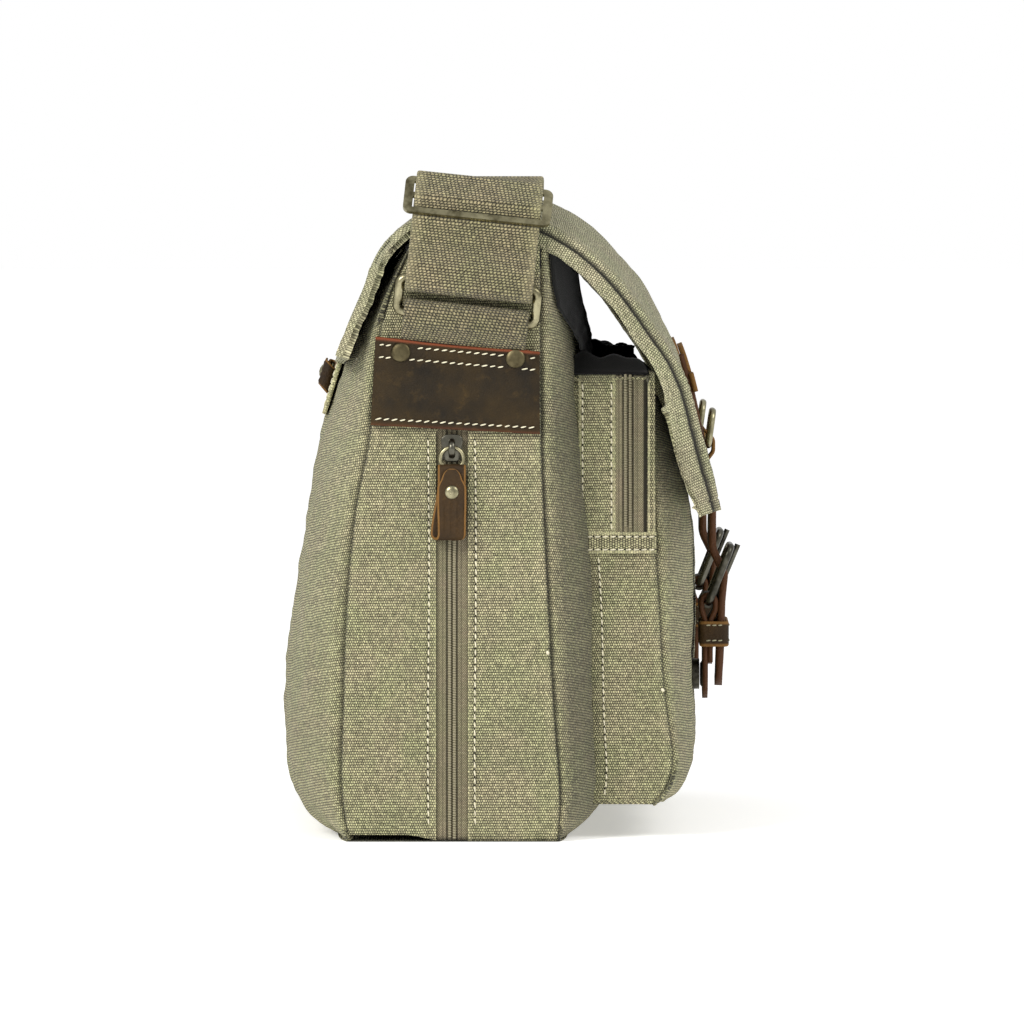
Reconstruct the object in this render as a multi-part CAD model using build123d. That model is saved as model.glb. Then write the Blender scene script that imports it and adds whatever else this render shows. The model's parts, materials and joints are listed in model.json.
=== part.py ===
"""Canvas messenger bag with leather trim, as an assembly of separate pieces.

Millimetres. +Z is up, the bag is longest along X and its front faces -Y. The origin is on the
underside of the base, below the middle of the two end gussets. Soft panels are plain closed
solids of the right size and place; hardware and everything that moves has its real shape.
"""
import os
from math import cos, hypot, radians, sin

from build123d import *

os.makedirs("parts", exist_ok=True)

# --- driving dimensions -------------------------------------------------------------------
HALF_LENGTH = 165.0          # end gusset to middle
MOUTH_Z = 229.0              # height of the main compartment's rim
CANVAS = 2.2                 # a panel with its turned seams
LINING = 0.8
LINING_GAP = 0.2             # between a panel and what lies against it
FLAP_HALF = 168.0            # half the flap's width along X
FLAP_PLY = 2.2               # each of the flap's two layers
PLY_GAP = 0.1
POCKET_HALF = 143.0
POCKET_TOP = 179.0
POCKET_SEAM = -76.0          # y where the pocket's front meets its top and its underside
WEBBING_WIDE = 49.0
WEBBING = 1.8
WIRE = 1.9                   # radius of the strap rings' wire
RING_WIDE = 57.0
RING_TALL = 13.0             # between the centres of a strap ring's two bars
STRAP_LEAN = 6.0             # the end hardware leans towards the front
ZIP_VISIBLE = 12.6           # tape that shows between the folded canvas edges
TAPE = 0.5
COIL_WIDE = 4.2
COIL_TALL = 1.5
CLOSURE_X = 88.0             # middle to each buckle closure
CLOSURE_WIDE = 22.0
STRAP_LEATHER = 2.6          # the closures' long strap
LEATHER = 1.8                # every other layer of leather
RUNNING = 0.3                # clearance round anything that turns
FLAP_AXIS = (27.0, 225.0)    # (y, z) of the crease that the flap turns about

# --- outlines, as (y, z) from the bottom up -------------------------------------------------
BODY_BACK_END = [
    (40, 0), (42, 14), (42, 45), (41, 78), (36.5, 130), (31, 160), (28.5, 190), (23, 212), (15, 229),
]
BODY_BACK_MID = [
    (46, 0), (58.5, 10), (65.5, 42), (64.5, 75), (58, 121), (51, 158), (42, 186), (30, 210), (17, 229),
]
BODY_FRONT_END = [
    (-41, 0), (-41.5, 14), (-40, 40), (-37.7, 78), (-35.8, 116), (-34.3, 155), (-34, 190), (-34, 229),
]
BODY_FRONT_MID = [
    (-46, 0), (-57.5, 10), (-61, 40), (-60.5, 78), (-58.5, 116), (-55, 155), (-51, 190), (-46, 229),
]
POCKET_END = [(-78, 13), (-84, 22), (-83, 50), (-80, 93), (-78, 120), (-76.5, 150), (-75, 179)]
POCKET_MID = [(-84, 12), (-92, 22), (-95, 50), (-95.2, 88), (-94.5, 118), (-88.5, 148), (-76, 179)]
# The flap's outer face, from its crease over the top and down to its front edge.
FLAP_END = [
    (28.6, 226.6), (20, 235.6), (5, 241), (-12, 242), (-35, 236), (-59, 219.5),
    (-79.7, 193), (-90.5, 176), (-96, 158), (-101, 141), (-104.5, 128),
]
FLAP_MID = [
    (28.6, 226.6), (20, 236.5), (5, 245), (-12, 248.5), (-38, 246), (-60, 231),
    (-78, 207.5), (-87.5, 186), (-92.5, 167), (-96.5, 148), (-99, 127),
]
FLAP_BACK_END = [(42.6, 186.5), (37.6, 203), (33, 214.5), (29.6, 223)]
FLAP_BACK_MID = [(46.5, 183.5), (41.5, 198), (35.5, 211.5), (29.6, 223)]
# How far towards the middle outline each section is, at its share of the half length.
FULLNESS = [(1.0, 0.0), (0.955, 0.45), (0.85, 0.8), (0.66, 0.96), (0.35, 1.0), (0.0, 1.0)]
CROWN = [(1.0, 0.0), (0.93, 0.3), (0.78, 0.66), (0.5, 0.93), (0.0, 1.0)]


# --- helpers ------------------------------------------------------------------------------
def stations(table):
    """(share along X, fullness) from one end to the other."""
    return [(-s, f) for s, f in table] + [(s, f) for s, f in reversed(table[:-1])]


def mixed(end, mid, share):
    return [(a + (c - a) * share, b + (d - b) * share) for (a, b), (c, d) in zip(end, mid)]


def at_x(points, x):
    return [(x, y, z) for y, z in points]


def closed_loft(sections):
    """A solid through closed sections of two splines joined by two straight lines."""
    wires = []
    for one, other in sections:
        edges = [Spline(*one), Line(one[-1], other[-1]), Spline(*reversed(other)), Line(other[0], one[0])]
        wires.append(Wire(edges))
    return Solid.make_loft(wires, ruled=False)


def moved_in(points, by, base):
    """The points moved along y, with the lowest put at the height base."""
    shifted = [(y + by, z) for y, z in points]
    return [(shifted[0][0], base)] + shifted[1:]


def body_solid(inset):
    """The bag's body, smaller by inset on every side but the top. At full size it reaches below
    the floor, where it is cut flat afterwards."""
    low = inset if inset else -0.5
    sections = []
    for share, full in stations(FULLNESS):
        x = share * (HALF_LENGTH - inset)
        back = moved_in(mixed(BODY_BACK_END, BODY_BACK_MID, full), -inset, low)
        front = moved_in(mixed(BODY_FRONT_END, BODY_FRONT_MID, full), inset, low)
        sections.append((at_x(back, x), at_x(front, x)))
    return closed_loft(sections)


def pocket_solid(inset):
    """The front pocket's box. Its back lies inside the body, which is cut away later."""
    sections = []
    for share, full in stations(FULLNESS):
        x = share * (POCKET_HALF - inset)
        front = mixed(POCKET_END, POCKET_MID, full)
        front = [(y + inset, z) for y, z in front]
        front[0] = (front[0][0], front[0][1] + inset)
        front[-1] = (front[-1][0], POCKET_TOP - inset)
        back = [(-38, z) for _, z in front]
        sections.append((at_x(back, x), at_x(front, x)))
    return closed_loft(sections)


def offset_points(points, by):
    """Points moved sideways from a line through them; positive is to the left of travel."""
    moved = []
    for n, (y, z) in enumerate(points):
        before, after = points[max(n - 1, 0)], points[min(n + 1, len(points) - 1)]
        dy, dz = after[0] - before[0], after[1] - before[1]
        size = hypot(dy, dz)
        moved.append((y - dz / size * by, z + dy / size * by))
    return moved


def sheet_solid(end, mid, outer, inner, half=FLAP_HALF, table=CROWN):
    """A curved sheet between two depths under the outer face, lofted across the bag."""
    sections = []
    for share, full in stations(table):
        line = mixed(end, mid, full)
        sections.append((at_x(offset_points(line, outer), share * half),
                         at_x(offset_points(line, inner), share * half)))
    return closed_loft(sections)


def block(x0, x1, y0, y1, z0, z1):
    """A box between two corners."""
    return Pos((x0 + x1) / 2, (y0 + y1) / 2, (z0 + z1) / 2) * Box(x1 - x0, y1 - y0, z1 - z0)


def rod(start, end, radius):
    axis = Vector(*end) - Vector(*start)
    return Solid.make_cylinder(radius, axis.length, Plane(origin=start, z_dir=axis))


def ribbon(points, radii, thick, wide):
    """A flat strip along a path of runs and arcs in the XZ plane, centred on y = 0."""
    path = FilletPolyline(*[(x, 0, z) for x, z in points], radius=radii)
    section = Plane(origin=path @ 0, x_dir=(0, 1, 0), z_dir=path % 0) * Rectangle(wide, thick)
    return sweep(section, path=path)


def wire_loop(wide, tall, radius, corner):
    """A closed wire rectangle in the YZ plane. Its lower bar is on the y axis."""
    a = wide / 2 - radius
    path = FilletPolyline((0, -a, 0), (0, a, 0), (0, a, tall), (0, -a, tall), radius=corner, close=True)
    start = path @ 0
    return sweep(Plane(origin=start, z_dir=path % 0) * Circle(radius), path=path)


def other_end(shape):
    return mirror(shape, about=Plane.YZ)


def export(name, *solids):
    """Writes one node from its solids."""
    flat = [s for shape in solids for s in shape.solids()]
    export_step(flat[0] if len(flat) == 1 else Compound(children=flat), f"parts/{name}.step")


# --- body ---------------------------------------------------------------------------------
def build_body(outer):
    shell = (outer - body_solid(CANVAS)) & block(-200, 200, -120, 120, 0, 240)
    wall = HALF_LENGTH - CANVAS
    gusset = shell & block(-200, -wall, -120, 120, -5, 240)
    middle = shell & block(-wall, wall, -120, 120, -5, 240)
    base = middle & block(-200, 200, -120, 120, -5, CANVAS)
    sides = middle & block(-200, 200, -120, 120, CANVAS, 240)
    back = sides & block(-200, 200, 0, 120, -5, 240)
    front = sides & block(-200, 200, -120, 0, -5, 240)
    return gusset, base, back, front


def build_inside():
    """The lining, the stiffening board and the padded divider."""
    gap = CANVAS + LINING_GAP
    lining = body_solid(gap) - body_solid(gap + LINING)
    lining = lining & block(-200, 200, -120, 120, -5, MOUTH_Z - 3)
    floor = gap + LINING
    board = block(-152, 152, -37, 37, floor, floor + 2.4)
    divider = block(-150, 150, -2, 2, floor + 2.8, MOUTH_Z - 22)
    return lining, board, divider


def build_rim():
    """The bound rim that closes the tops of the panels and the lining."""
    wide, narrow = body_solid(0), body_solid(CANVAS + LINING_GAP + LINING)
    slab = block(-200, 200, -120, 120, MOUTH_Z - 0.6, MOUTH_Z)
    band = (wide - narrow) & slab
    return Pos(0, 0, 0.6) * band


# --- hardware at a bag end, in its own frame -------------------------------------------------
# x is how far out of the gusset, y across it and z up from the strap ring's lower bar.
BAR_OUT = 5.0
BAR_Y, BAR_Z = -5.4, 201.7
UPPER_BAR = (6.5, RING_TALL)
WRAP = WIRE + RUNNING + WEBBING / 2      # radius of a webbing fold's middle round a bar
SLIDER_AT = (3.6, 44.8)
SLIDER_LEAN = 35.0
SLIDER_HALF = 8.4            # half the slider's height
WEAVE = 1.9                  # the strap's middle to the slider's, each side of it


def on_end(shape):
    """From the end hardware's frame to the bag's left end."""
    turned = mirror(shape, about=Plane.YZ)
    return Pos(-HALF_LENGTH, BAR_Y, BAR_Z) * Rot(X=STRAP_LEAN) * turned


def on_slider(a, b):
    """A point a along the slider's plane and b out of it."""
    lean = radians(SLIDER_LEAN)
    return (SLIDER_AT[0] - a * sin(lean) + b * cos(lean), SLIDER_AT[1] + a * cos(lean) + b * sin(lean))


def ring_loop():
    """The webbing tab that holds the strap ring, folded round its lower bar."""
    left, right, top = BAR_OUT - WRAP, BAR_OUT + WRAP, WRAP
    points = [(1.0, -37), (1.0, -12), (left, -3), (left, top)]
    points += [(right, top), (right, -2.4), (2.9, -15), (2.9, -37)]
    return ribbon(points, [8, 5, WRAP - 0.01, WRAP - 0.01, 4, 5], WEBBING, WEBBING_WIDE - 1)


def strap_ring():
    lean = 6.58  # degrees that the upper bar stands further out than the lower one
    tall = hypot(UPPER_BAR[0] - BAR_OUT, UPPER_BAR[1])
    return Pos(BAR_OUT, 0, 0) * Rot(Y=lean) * wire_loop(RING_WIDE, tall, WIRE, 2.6)


LEG_BEND = on_slider(-9.0, -WEAVE)
LEG_TOP = (LEG_BEND[0], LEG_BEND[1] - 4.0)
STRAP_IN = -12.0             # the end frame's x where the flat top run begins
STRAP_OVER = 53.5            # height of the strap over the ring's lower bar


def strap_leg():
    """Webbing folded round the ring's upper bar, up to where the strap's own body begins."""
    out, up = UPPER_BAR
    end = LEG_TOP
    points = [
        (end[0] - 2.0, 33.0), (end[0] - 2.0, 27.0), (out - WRAP, up + 3), (out - WRAP, up - WRAP),
        (out + WRAP, up - WRAP), (out + WRAP, up + 4), (end[0], 27.0), end,
    ]
    return ribbon(points, [8, 5, WRAP - 0.01, WRAP - 0.01, 5, 8], WEBBING, WEBBING_WIDE)


def strap_over_left():
    """The webbing up behind the slider's lower bar, out over the other two and over the bag's edge."""
    lean = radians(SLIDER_LEAN)
    climb = (STRAP_OVER - SLIDER_AT[1] - WEAVE * sin(lean)) / cos(lean)
    points = [
        LEG_TOP, LEG_BEND, on_slider(-5.4, -WEAVE), on_slider(-1.6, WEAVE), on_slider(climb, WEAVE),
        (STRAP_IN, STRAP_OVER),
    ]
    return ribbon(points, [3.0, 0.95, 0.95, 2.5], WEBBING, WEBBING_WIDE)


def strap_over_right():
    points = [LEG_TOP, (LEG_TOP[0], 44.0), (1.5, STRAP_OVER), (STRAP_IN, STRAP_OVER)]
    return ribbon(points, [9, 9], WEBBING, WEBBING_WIDE)


def strap_slider():
    """The three-bar slide: two slots between a lower, a middle and an upper bar."""
    frame = Box(1.6, RING_WIDE, 2 * SLIDER_HALF)
    frame = fillet(frame.edges().filter_by(Axis.X), 3.0)
    low, high = 1.0, SLIDER_HALF - 2.4
    for side in (-1, 1):
        frame -= Pos(0, 0, side * (low + high) / 2) * Box(4, WEBBING_WIDE + 1, high - low)
    return Pos(SLIDER_AT[0], 0, SLIDER_AT[1]) * Rot(Y=-SLIDER_LEAN) * frame


def strap_top():
    """The strap's long run, laid over the flap in three folds."""
    low, pitch, reach = 250.6, 2.4, 120.0
    fold = pitch / 2 - 0.01
    level = BAR_Z + STRAP_OVER * cos(radians(STRAP_LEAN))
    edge = HALF_LENGTH + STRAP_IN - 0.4
    over = Pos(0, BAR_Y - STRAP_OVER * sin(radians(STRAP_LEAN)), 0)
    points = [
        (-edge, level), (-edge + 14, level), (-edge + 28, low), (reach, low), (reach, low + pitch),
        (-reach, low + pitch), (-reach, low + 2 * pitch), (edge - 26, low + 2 * pitch),
        (edge - 12, level), (edge, level),
    ]
    radii = [12, 12, fold, fold, fold, fold, 12, 12]
    return over * ribbon(points, radii, WEBBING, WEBBING_WIDE)


def patch_and_rivets(loop):
    """The leather patch over the end of the webbing tab, with its rivets through to the gusset."""
    outline = Polyline((31.2, 160.5), (-33.8, 157), (-33.8, 188.7), (29.3, 194.5), close=True)
    face = Plane(origin=(-HALF_LENGTH, 0, 0), x_dir=(0, 1, 0), z_dir=(1, 0, 0)) * make_face(outline)
    patch = extrude(face, amount=-6.0)
    patch -= on_end(block(-1, 4.0, -24.4, 24.4, -38, 5)) + loop
    rivets = []
    for y, z in ((19.6, 188.6), (-24.4, 186.2)):
        centre = (-HALF_LENGTH - 6.0, y, z)
        post = rod((-HALF_LENGTH + CANVAS + 0.4, y, z), centre, 1.4)
        cap = Pos(*centre) * Rot(Y=-90) * Solid.make_cone(4.4, 3.2, 1.4)
        inside = (-HALF_LENGTH + CANVAS, y, z)
        back = rod(inside, (inside[0] + 0.8, y, z), 3.6)
        rivets.append(post + cap + (back - post))
    for rivet in rivets:
        patch -= rivet
        loop -= rivet
    return patch, rivets, loop


# --- zips, in their own frame: travel along x, y across the tape, z out of it ------------------
CROWN_Z = 5.7                # height of the pull's axis over the tape's back
PULL_REACH = 7.5             # between the centres of a pull ring's two bars


def zip_slider():
    plate = extrude(RectangleRounded(11.0, 9.0, 2.5), 1.2)
    body = Pos(0, 0, TAPE + COIL_TALL + RUNNING) * plate
    for side in (-1, 1):
        body += block(-5.0, 5.0, side * 3.5 - 1.0, side * 3.5 + 1.0, TAPE + 0.2, TAPE + COIL_TALL + RUNNING + 0.4)
    top = TAPE + COIL_TALL + RUNNING + 1.2
    crown = block(-3.6, 3.6, -1.2, 1.2, top - 0.2, CROWN_Z + 1.9)
    crown = fillet(crown.edges().filter_by(Axis.Y).group_by(Axis.Z)[-1], 1.5)
    body += crown - Pos(0, 0, CROWN_Z) * Rot(X=90) * Cylinder(1.05, 10)
    return body


def pull_ring():
    """The wire ring through the slider's crown, lying towards -x."""
    return Pos(0, 0, CROWN_Z) * Rot(Y=-90) * wire_loop(9.5, PULL_REACH, 0.75, 2.0)


def pull_tab(long=27.5, wide=12.3):
    """A leather strip folded over the ring's far bar, necked there, and its rivet."""
    bend, thick = 1.8, 1.5
    x = -PULL_REACH
    points = [(x - long, CROWN_Z - bend), (x + bend, CROWN_Z - bend)]
    points += [(x + bend, CROWN_Z + bend), (x - long, CROWN_Z + bend)]
    tab = ribbon(points, [bend - 0.01, bend - 0.01], thick, wide)
    for side in (-1, 1):
        notch = Pos(x + 2, side * (2.8 + 5), CROWN_Z) * Box(11, 10, 10)
        tab -= fillet(notch.edges().filter_by(Axis.Z), 2.0)
    tab = fillet(tab.edges().filter_by(Axis.Z).group_by(Axis.X)[0], wide / 2 - 1.2)
    outer = bend + thick / 2
    rivet = rod((x - 9, 0, CROWN_Z - outer - 0.5), (x - 9, 0, CROWN_Z + outer + 1.0), 0.9)
    rivet += rod((x - 9, 0, CROWN_Z + outer), (x - 9, 0, CROWN_Z + outer + 1.0), 2.9)
    rivet += rod((x - 9, 0, CROWN_Z - outer - 0.5), (x - 9, 0, CROWN_Z - outer), 2.9)
    return tab - rivet, rivet


def coil_strip(length, centre=0.0):
    strip = Pos(centre, 0, TAPE + COIL_TALL / 2) * Box(length, COIL_WIDE, COIL_TALL)
    return fillet(strip.edges().filter_by(Axis.X).group_by(Axis.Z)[-1], 0.7)


# --- buckle closures, made at the bag's middle and moved along x to CLOSURE_X ------------------
DROP_AXIS = (-101.8, 126.5)  # (y, z) where the hanging strap flexes below the flap
BUCKLE_AXIS = (-100.2, 89.6)
BUCKLE_LEAN = 21.6
BUCKLE_TALL = 23.2
BUCKLE_WIRE = 1.5
STUD_Z = 61.0                # height of the press studs
LOOP_AXIS = (-100.0, 151.0)  # the upper ring's lower bar


def across(points, radii, thick, wide):
    """A strip along a path of (y, z) points, centred on x = 0."""
    return Rot(Z=90) * ribbon(points, radii, thick, wide)


def hanging_strap():
    """The long strap: behind the buckle's top bar, out over its pivot and through the keeper."""
    points = [DROP_AXIS, (-101.6, 110.6), (-106.4, 100.6), (-105.4, 89.6), (-104.9, 77.6), (-104.2, 56.5)]
    strap = across(points, [9, 5, 9, 20], STRAP_LEATHER, CLOSURE_WIDE)
    strap += rod((-CLOSURE_WIDE / 2, *DROP_AXIS), (CLOSURE_WIDE / 2, *DROP_AXIS), STRAP_LEATHER / 2)
    tip = strap.edges().filter_by(Axis.Y, tolerance=8).group_by(Axis.Z)[0]
    strap = fillet(tip, CLOSURE_WIDE / 2 - 3)
    return strap - block(-2.3, 2.3, -120, -95, 84.6, 111.6)


def chape():
    """The lower strap, folded round the buckle's pivot, and half of the press stud."""
    y, z = BUCKLE_AXIS
    fold = BUCKLE_WIRE + RUNNING + LEATHER / 2
    inner, outer = -98.9, -100.8
    points = [
        (inner, 51.5), (inner, 82.1), (y + fold, 86.6), (y + fold, z + fold), (y - fold, z + fold),
        (y - fold, 86.6), (outer, 82.1), (outer, 66),
    ]
    strap = across(points, [6, 4, fold - 0.01, fold - 0.01, 4, 6], LEATHER, CLOSURE_WIDE)
    strap = fillet(strap.edges().filter_by(Axis.Y).group_by(Axis.Z)[0], CLOSURE_WIDE / 2 - 3)
    strap -= block(-2.3, 2.3, -110, -90, 86.1, 95.6)
    stud = rod((0, inner + LEATHER / 2, STUD_Z), (0, -97.0, STUD_Z), 5.0)
    return strap, stud


def keeper():
    """The leather loop round the strap and the chape."""
    outside = block(-12.9, 12.9, -108.1, -96.5, 72.6, 82.6)
    outside = fillet(outside.edges().filter_by(Axis.Z), 1.5)
    return outside - block(-11.4, 11.4, -106.6, -97.8, 65, 90)


def buckle_frame():
    frame = wire_loop(30, BUCKLE_TALL, BUCKLE_WIRE, 3.5)
    return Pos(0, *BUCKLE_AXIS) * Rot(X=BUCKLE_LEAN) * Rot(Z=90) * frame


def buckle_prong():
    """The prong, hung on the buckle's pivot bar and resting on the outside of its top bar."""
    rest = BUCKLE_WIRE + 0.05 + 1.1
    bar = Rot(Y=90) * Cylinder(BUCKLE_WIRE + 0.1, 10)
    prong = Rot(Y=90) * Cylinder(2.8, 2.6) + rod((0, -2.2, 1.0), (0, -rest, BUCKLE_TALL + 1.8), 1.1)
    return Pos(0, *BUCKLE_AXIS) * Rot(X=BUCKLE_LEAN) * (prong - bar)


def upper_ring():
    return Pos(0, *LOOP_AXIS) * Rot(X=8) * Rot(Z=90) * wire_loop(25, 13.5, 1.25, 4)


def anchors(flap):
    """On the flap: the sewn strap, the loop that holds the upper ring and the strap's own end."""
    line = mixed(FLAP_END, FLAP_MID, 0.91)    # the flap's section at CLOSURE_X
    half = CLOSURE_WIDE / 2

    def layer(deep, proud, low, high, wide):
        inner, outer = offset_points(line, deep), offset_points(line, -proud)
        edges = [Spline(*at_x(inner, 0)), Spline(*at_x(outer, 0))]
        edges += [Line(edges[0] @ 0, edges[1] @ 0), Line(edges[0] @ 1, edges[1] @ 1)]
        face = Face(Wire(edges))
        return extrude(face, amount=wide, dir=(1, 0, 0), both=True) & block(-50, 50, -150, 0, low, high)

    at_flap = Pos(-CLOSURE_X, 0, 0)
    strap = at_flap * layer(1.0, 2.0, 129.5, 171, half) - flap
    end = at_flap * layer(1.0, 2.8, 178.6, 187, half) - flap
    band = at_flap * layer(1.0, 4.0, 171.2, 178.4, half + 1.5) - flap
    y, z = LOOP_AXIS
    out = 1.25 + RUNNING + 0.6
    path = [(y + 1.2, z - 7), (y - out, z - 2.5), (y - out, z + 2.5), (y + 3.6, z + 8)]
    loop = across(path, [3, 3], 1.2, 15)
    loop = at_flap * loop - strap - flap
    return [strap, end, band, loop.solids().sort_by(SortBy.VOLUME)[-1]]


# --- build, in order --------------------------------------------------------------------------
body_outer = body_solid(0)
gusset, base, back, front = build_body(body_outer)
lining, board, divider = build_inside()
rim = build_rim()

# Side zips: a slot in each gusset, closed by the tape, with the coil on it.
half_tape = ZIP_VISIBLE / 2
SIDE_ZIP_LOW, SIDE_ZIP_HIGH = 6.0, 157.5
SIDE_SLIDER_Z = 151.5
side_frame = Pos(-HALF_LENGTH + CANVAS - 0.2, 0, 0) * Rot(Y=-90)   # travel along +z, out is -x
side_tape = side_frame * block(SIDE_ZIP_LOW, SIDE_ZIP_HIGH, -half_tape, half_tape, 0, TAPE)
side_coil = side_frame * coil_strip(SIDE_ZIP_HIGH - SIDE_ZIP_LOW - 4, (SIDE_ZIP_LOW + SIDE_ZIP_HIGH) / 2)
gusset -= side_frame * block(SIDE_ZIP_LOW, SIDE_ZIP_HIGH, -half_tape, half_tape, -5, 15)
side_at = side_frame * Pos(SIDE_SLIDER_Z, 0, 0)
tab, tab_rivet = pull_tab()

loop = on_end(ring_loop())
patch, rivets, loop = patch_and_rivets(loop)
for rivet in rivets:
    gusset -= rivet
    lining -= rivet + other_end(rivet)

export("back_panel", back)
export("base_panel", base)
export("lining", lining)
export("base_board", board)
export("divider", divider)
export("mouth_binding", rim)
export("side_zip_tapes", side_tape, other_end(side_tape))
export("side_zip_coils", side_coil, other_end(side_coil))
export("strap_webbing", on_end(strap_over_left()), strap_top(), other_end(on_end(strap_over_right())))
export("strap_slider", on_end(strap_slider()))
both_ends = {
    "gusset": [gusset],
    "leather_patch": [patch],
    "patch_rivets": rivets,
    "ring_tab": [loop],
    "strap_ring": [on_end(strap_ring())],
    "strap_leg": [on_end(strap_leg())],
    "side_slider": [side_at * zip_slider()],
    "side_pull_ring": [side_at * pull_ring()],
    "side_pull_tab": [side_at * tab, side_at * tab_rivet],
}
for name, solids in both_ends.items():
    export(f"{name}_left", *solids)
    export(f"{name}_right", *[other_end(s) for s in solids])

# Front pocket: canvas round its sides and a front panel, with a zip over the top of it.
pocket_shell = pocket_solid(0) - body_outer - pocket_solid(CANVAS)
wall = POCKET_HALF - CANVAS
pocket_ends = pocket_shell - block(-wall, wall, -120, 120, -5, 240)
pocket_middle = pocket_shell & block(-wall, wall, -120, 120, -5, 240)
pocket_front = pocket_middle & block(-200, 200, -120, POCKET_SEAM, -5, 240)
pocket_band = pocket_middle & block(-200, 200, POCKET_SEAM, 120, -5, 240)
POCKET_ZIP_Y, POCKET_ZIP_LOW = -68.0, 120.0
near, far = POCKET_ZIP_Y - half_tape, POCKET_ZIP_Y + half_tape
tape_out, tape_top = POCKET_HALF + TAPE, POCKET_TOP + TAPE
pocket_tape = block(-tape_out, tape_out, near, far, POCKET_ZIP_LOW, tape_top)
pocket_tape -= block(-POCKET_HALF, POCKET_HALF, -100, 0, 0, POCKET_TOP)
near, far = POCKET_ZIP_Y - COIL_WIDE / 2, POCKET_ZIP_Y + COIL_WIDE / 2
coil_out, coil_top = tape_out + COIL_TALL, tape_top + COIL_TALL
pocket_coil = block(-coil_out, coil_out, near, far, POCKET_ZIP_LOW + 2, coil_top)
pocket_coil -= block(-tape_out, tape_out, -100, 0, 0, tape_top)
pocket_at = Pos(95, POCKET_ZIP_Y, POCKET_TOP)
sockets = [rod((x, -94.0, STUD_Z), (x, -96.7, STUD_Z), 6.0) for x in (-CLOSURE_X, CLOSURE_X)]
for socket in sockets:
    pocket_front -= socket
export("front_panel", front)
export("pocket_front", pocket_front)
export("pocket_gussets", pocket_ends)
export("pocket_band", pocket_band)
export("pocket_zip_tape", pocket_tape)
export("pocket_zip_coil", pocket_coil)
export("stud_sockets", *sockets)

# Back zip, just under the flap's seam. Its tape is fitted to the curved back panel.
BACK_ZIP_Z, BACK_ZIP_HALF = 175.0, 105.0
BACK_FACE = 46.3             # y of the back panel there
BACK_LEAN = 17.0             # degrees that it leans in towards the top
back_frame = Pos(0, BACK_FACE, BACK_ZIP_Z) * Rot(X=-90 + BACK_LEAN)
back_tape = back_frame * block(-BACK_ZIP_HALF, BACK_ZIP_HALF, -half_tape, half_tape, -4, TAPE)
back_tape -= body_outer
back_at = back_frame * Pos(95, 0, 0)
export("back_zip_tape", back_tape)
export("back_zip_coil", back_frame * coil_strip(2 * BACK_ZIP_HALF - 8))
for name, place in (("pocket", pocket_at), ("back", back_at)):
    export(f"{name}_slider", place * zip_slider())
    export(f"{name}_pull_ring", place * pull_ring())
    export(f"{name}_pull_tab", place * tab, place * tab_rivet)

# Flap: a rear piece sewn to the back panel, and the part that turns up, in two layers.
ply = 2 * FLAP_PLY
flap_rear = sheet_solid(FLAP_BACK_END, FLAP_BACK_MID, 0, ply) - body_outer
flap_rear -= rod((-200, *FLAP_AXIS), (200, *FLAP_AXIS), FLAP_PLY + RUNNING)
flap_outer = sheet_solid(FLAP_END, FLAP_MID, 0, FLAP_PLY)
flap_lining = sheet_solid(FLAP_END, FLAP_MID, FLAP_PLY + PLY_GAP, ply)
export("flap_rear", flap_rear.solids().sort_by(SortBy.VOLUME)[-1])
export("flap_outer", flap_outer)
export("flap_lining", flap_lining)

# Buckle closures.
anchor = anchors(flap_outer)
export("closure_anchors", *anchor, *[other_end(s) for s in anchor])
strap_end, stud = chape()
closure = {
    "upper_ring": [upper_ring()],
    "closure_strap": [hanging_strap()],
    "chape": [strap_end, stud],
    "keeper": [keeper()],
    "buckle_frame": [buckle_frame()],
    "buckle_prong": [buckle_prong()],
}
for side, x in (("left", -CLOSURE_X), ("right", CLOSURE_X)):
    for name, solids in closure.items():
        export(f"{name}_{side}", *[Pos(x, 0, 0) * s for s in solids])
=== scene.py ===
"""Looks of the canvas messenger bag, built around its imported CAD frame. Lengths here are in
millimetres until mesh_object() writes them in metres, in the CAD's own frame."""

import json
from math import cos, pi, radians, sin

import bmesh
import bpy
import numpy as np
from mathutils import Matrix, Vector


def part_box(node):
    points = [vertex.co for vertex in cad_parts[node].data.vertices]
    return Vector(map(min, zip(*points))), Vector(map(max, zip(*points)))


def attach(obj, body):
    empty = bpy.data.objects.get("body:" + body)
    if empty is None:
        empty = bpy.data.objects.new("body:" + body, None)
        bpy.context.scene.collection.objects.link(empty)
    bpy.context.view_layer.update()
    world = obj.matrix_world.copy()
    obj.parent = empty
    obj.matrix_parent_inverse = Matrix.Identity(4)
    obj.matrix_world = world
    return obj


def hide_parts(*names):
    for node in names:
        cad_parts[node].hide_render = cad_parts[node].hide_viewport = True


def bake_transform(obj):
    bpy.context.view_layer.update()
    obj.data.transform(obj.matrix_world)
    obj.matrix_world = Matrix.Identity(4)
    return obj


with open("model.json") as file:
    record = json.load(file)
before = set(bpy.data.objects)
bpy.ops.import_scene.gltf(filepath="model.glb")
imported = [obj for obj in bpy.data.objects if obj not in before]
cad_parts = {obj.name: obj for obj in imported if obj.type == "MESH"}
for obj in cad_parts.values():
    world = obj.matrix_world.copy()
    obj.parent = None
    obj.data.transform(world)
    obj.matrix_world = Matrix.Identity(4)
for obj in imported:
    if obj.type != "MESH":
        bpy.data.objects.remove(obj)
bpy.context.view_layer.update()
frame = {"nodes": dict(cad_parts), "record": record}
MM = 0.001
rng = np.random.default_rng(7)

# --- sizes and places, read from the CAD ---------------------------------------------------
def in_mm(point):
    """A point of the frame in millimetres, to the 0.01 mm that the CAD is drawn to."""
    return [round(float(v) / MM, 2) for v in point]


def lowest(node):
    return in_mm(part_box(node)[0])


def highest(node):
    return in_mm(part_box(node)[1])


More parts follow.
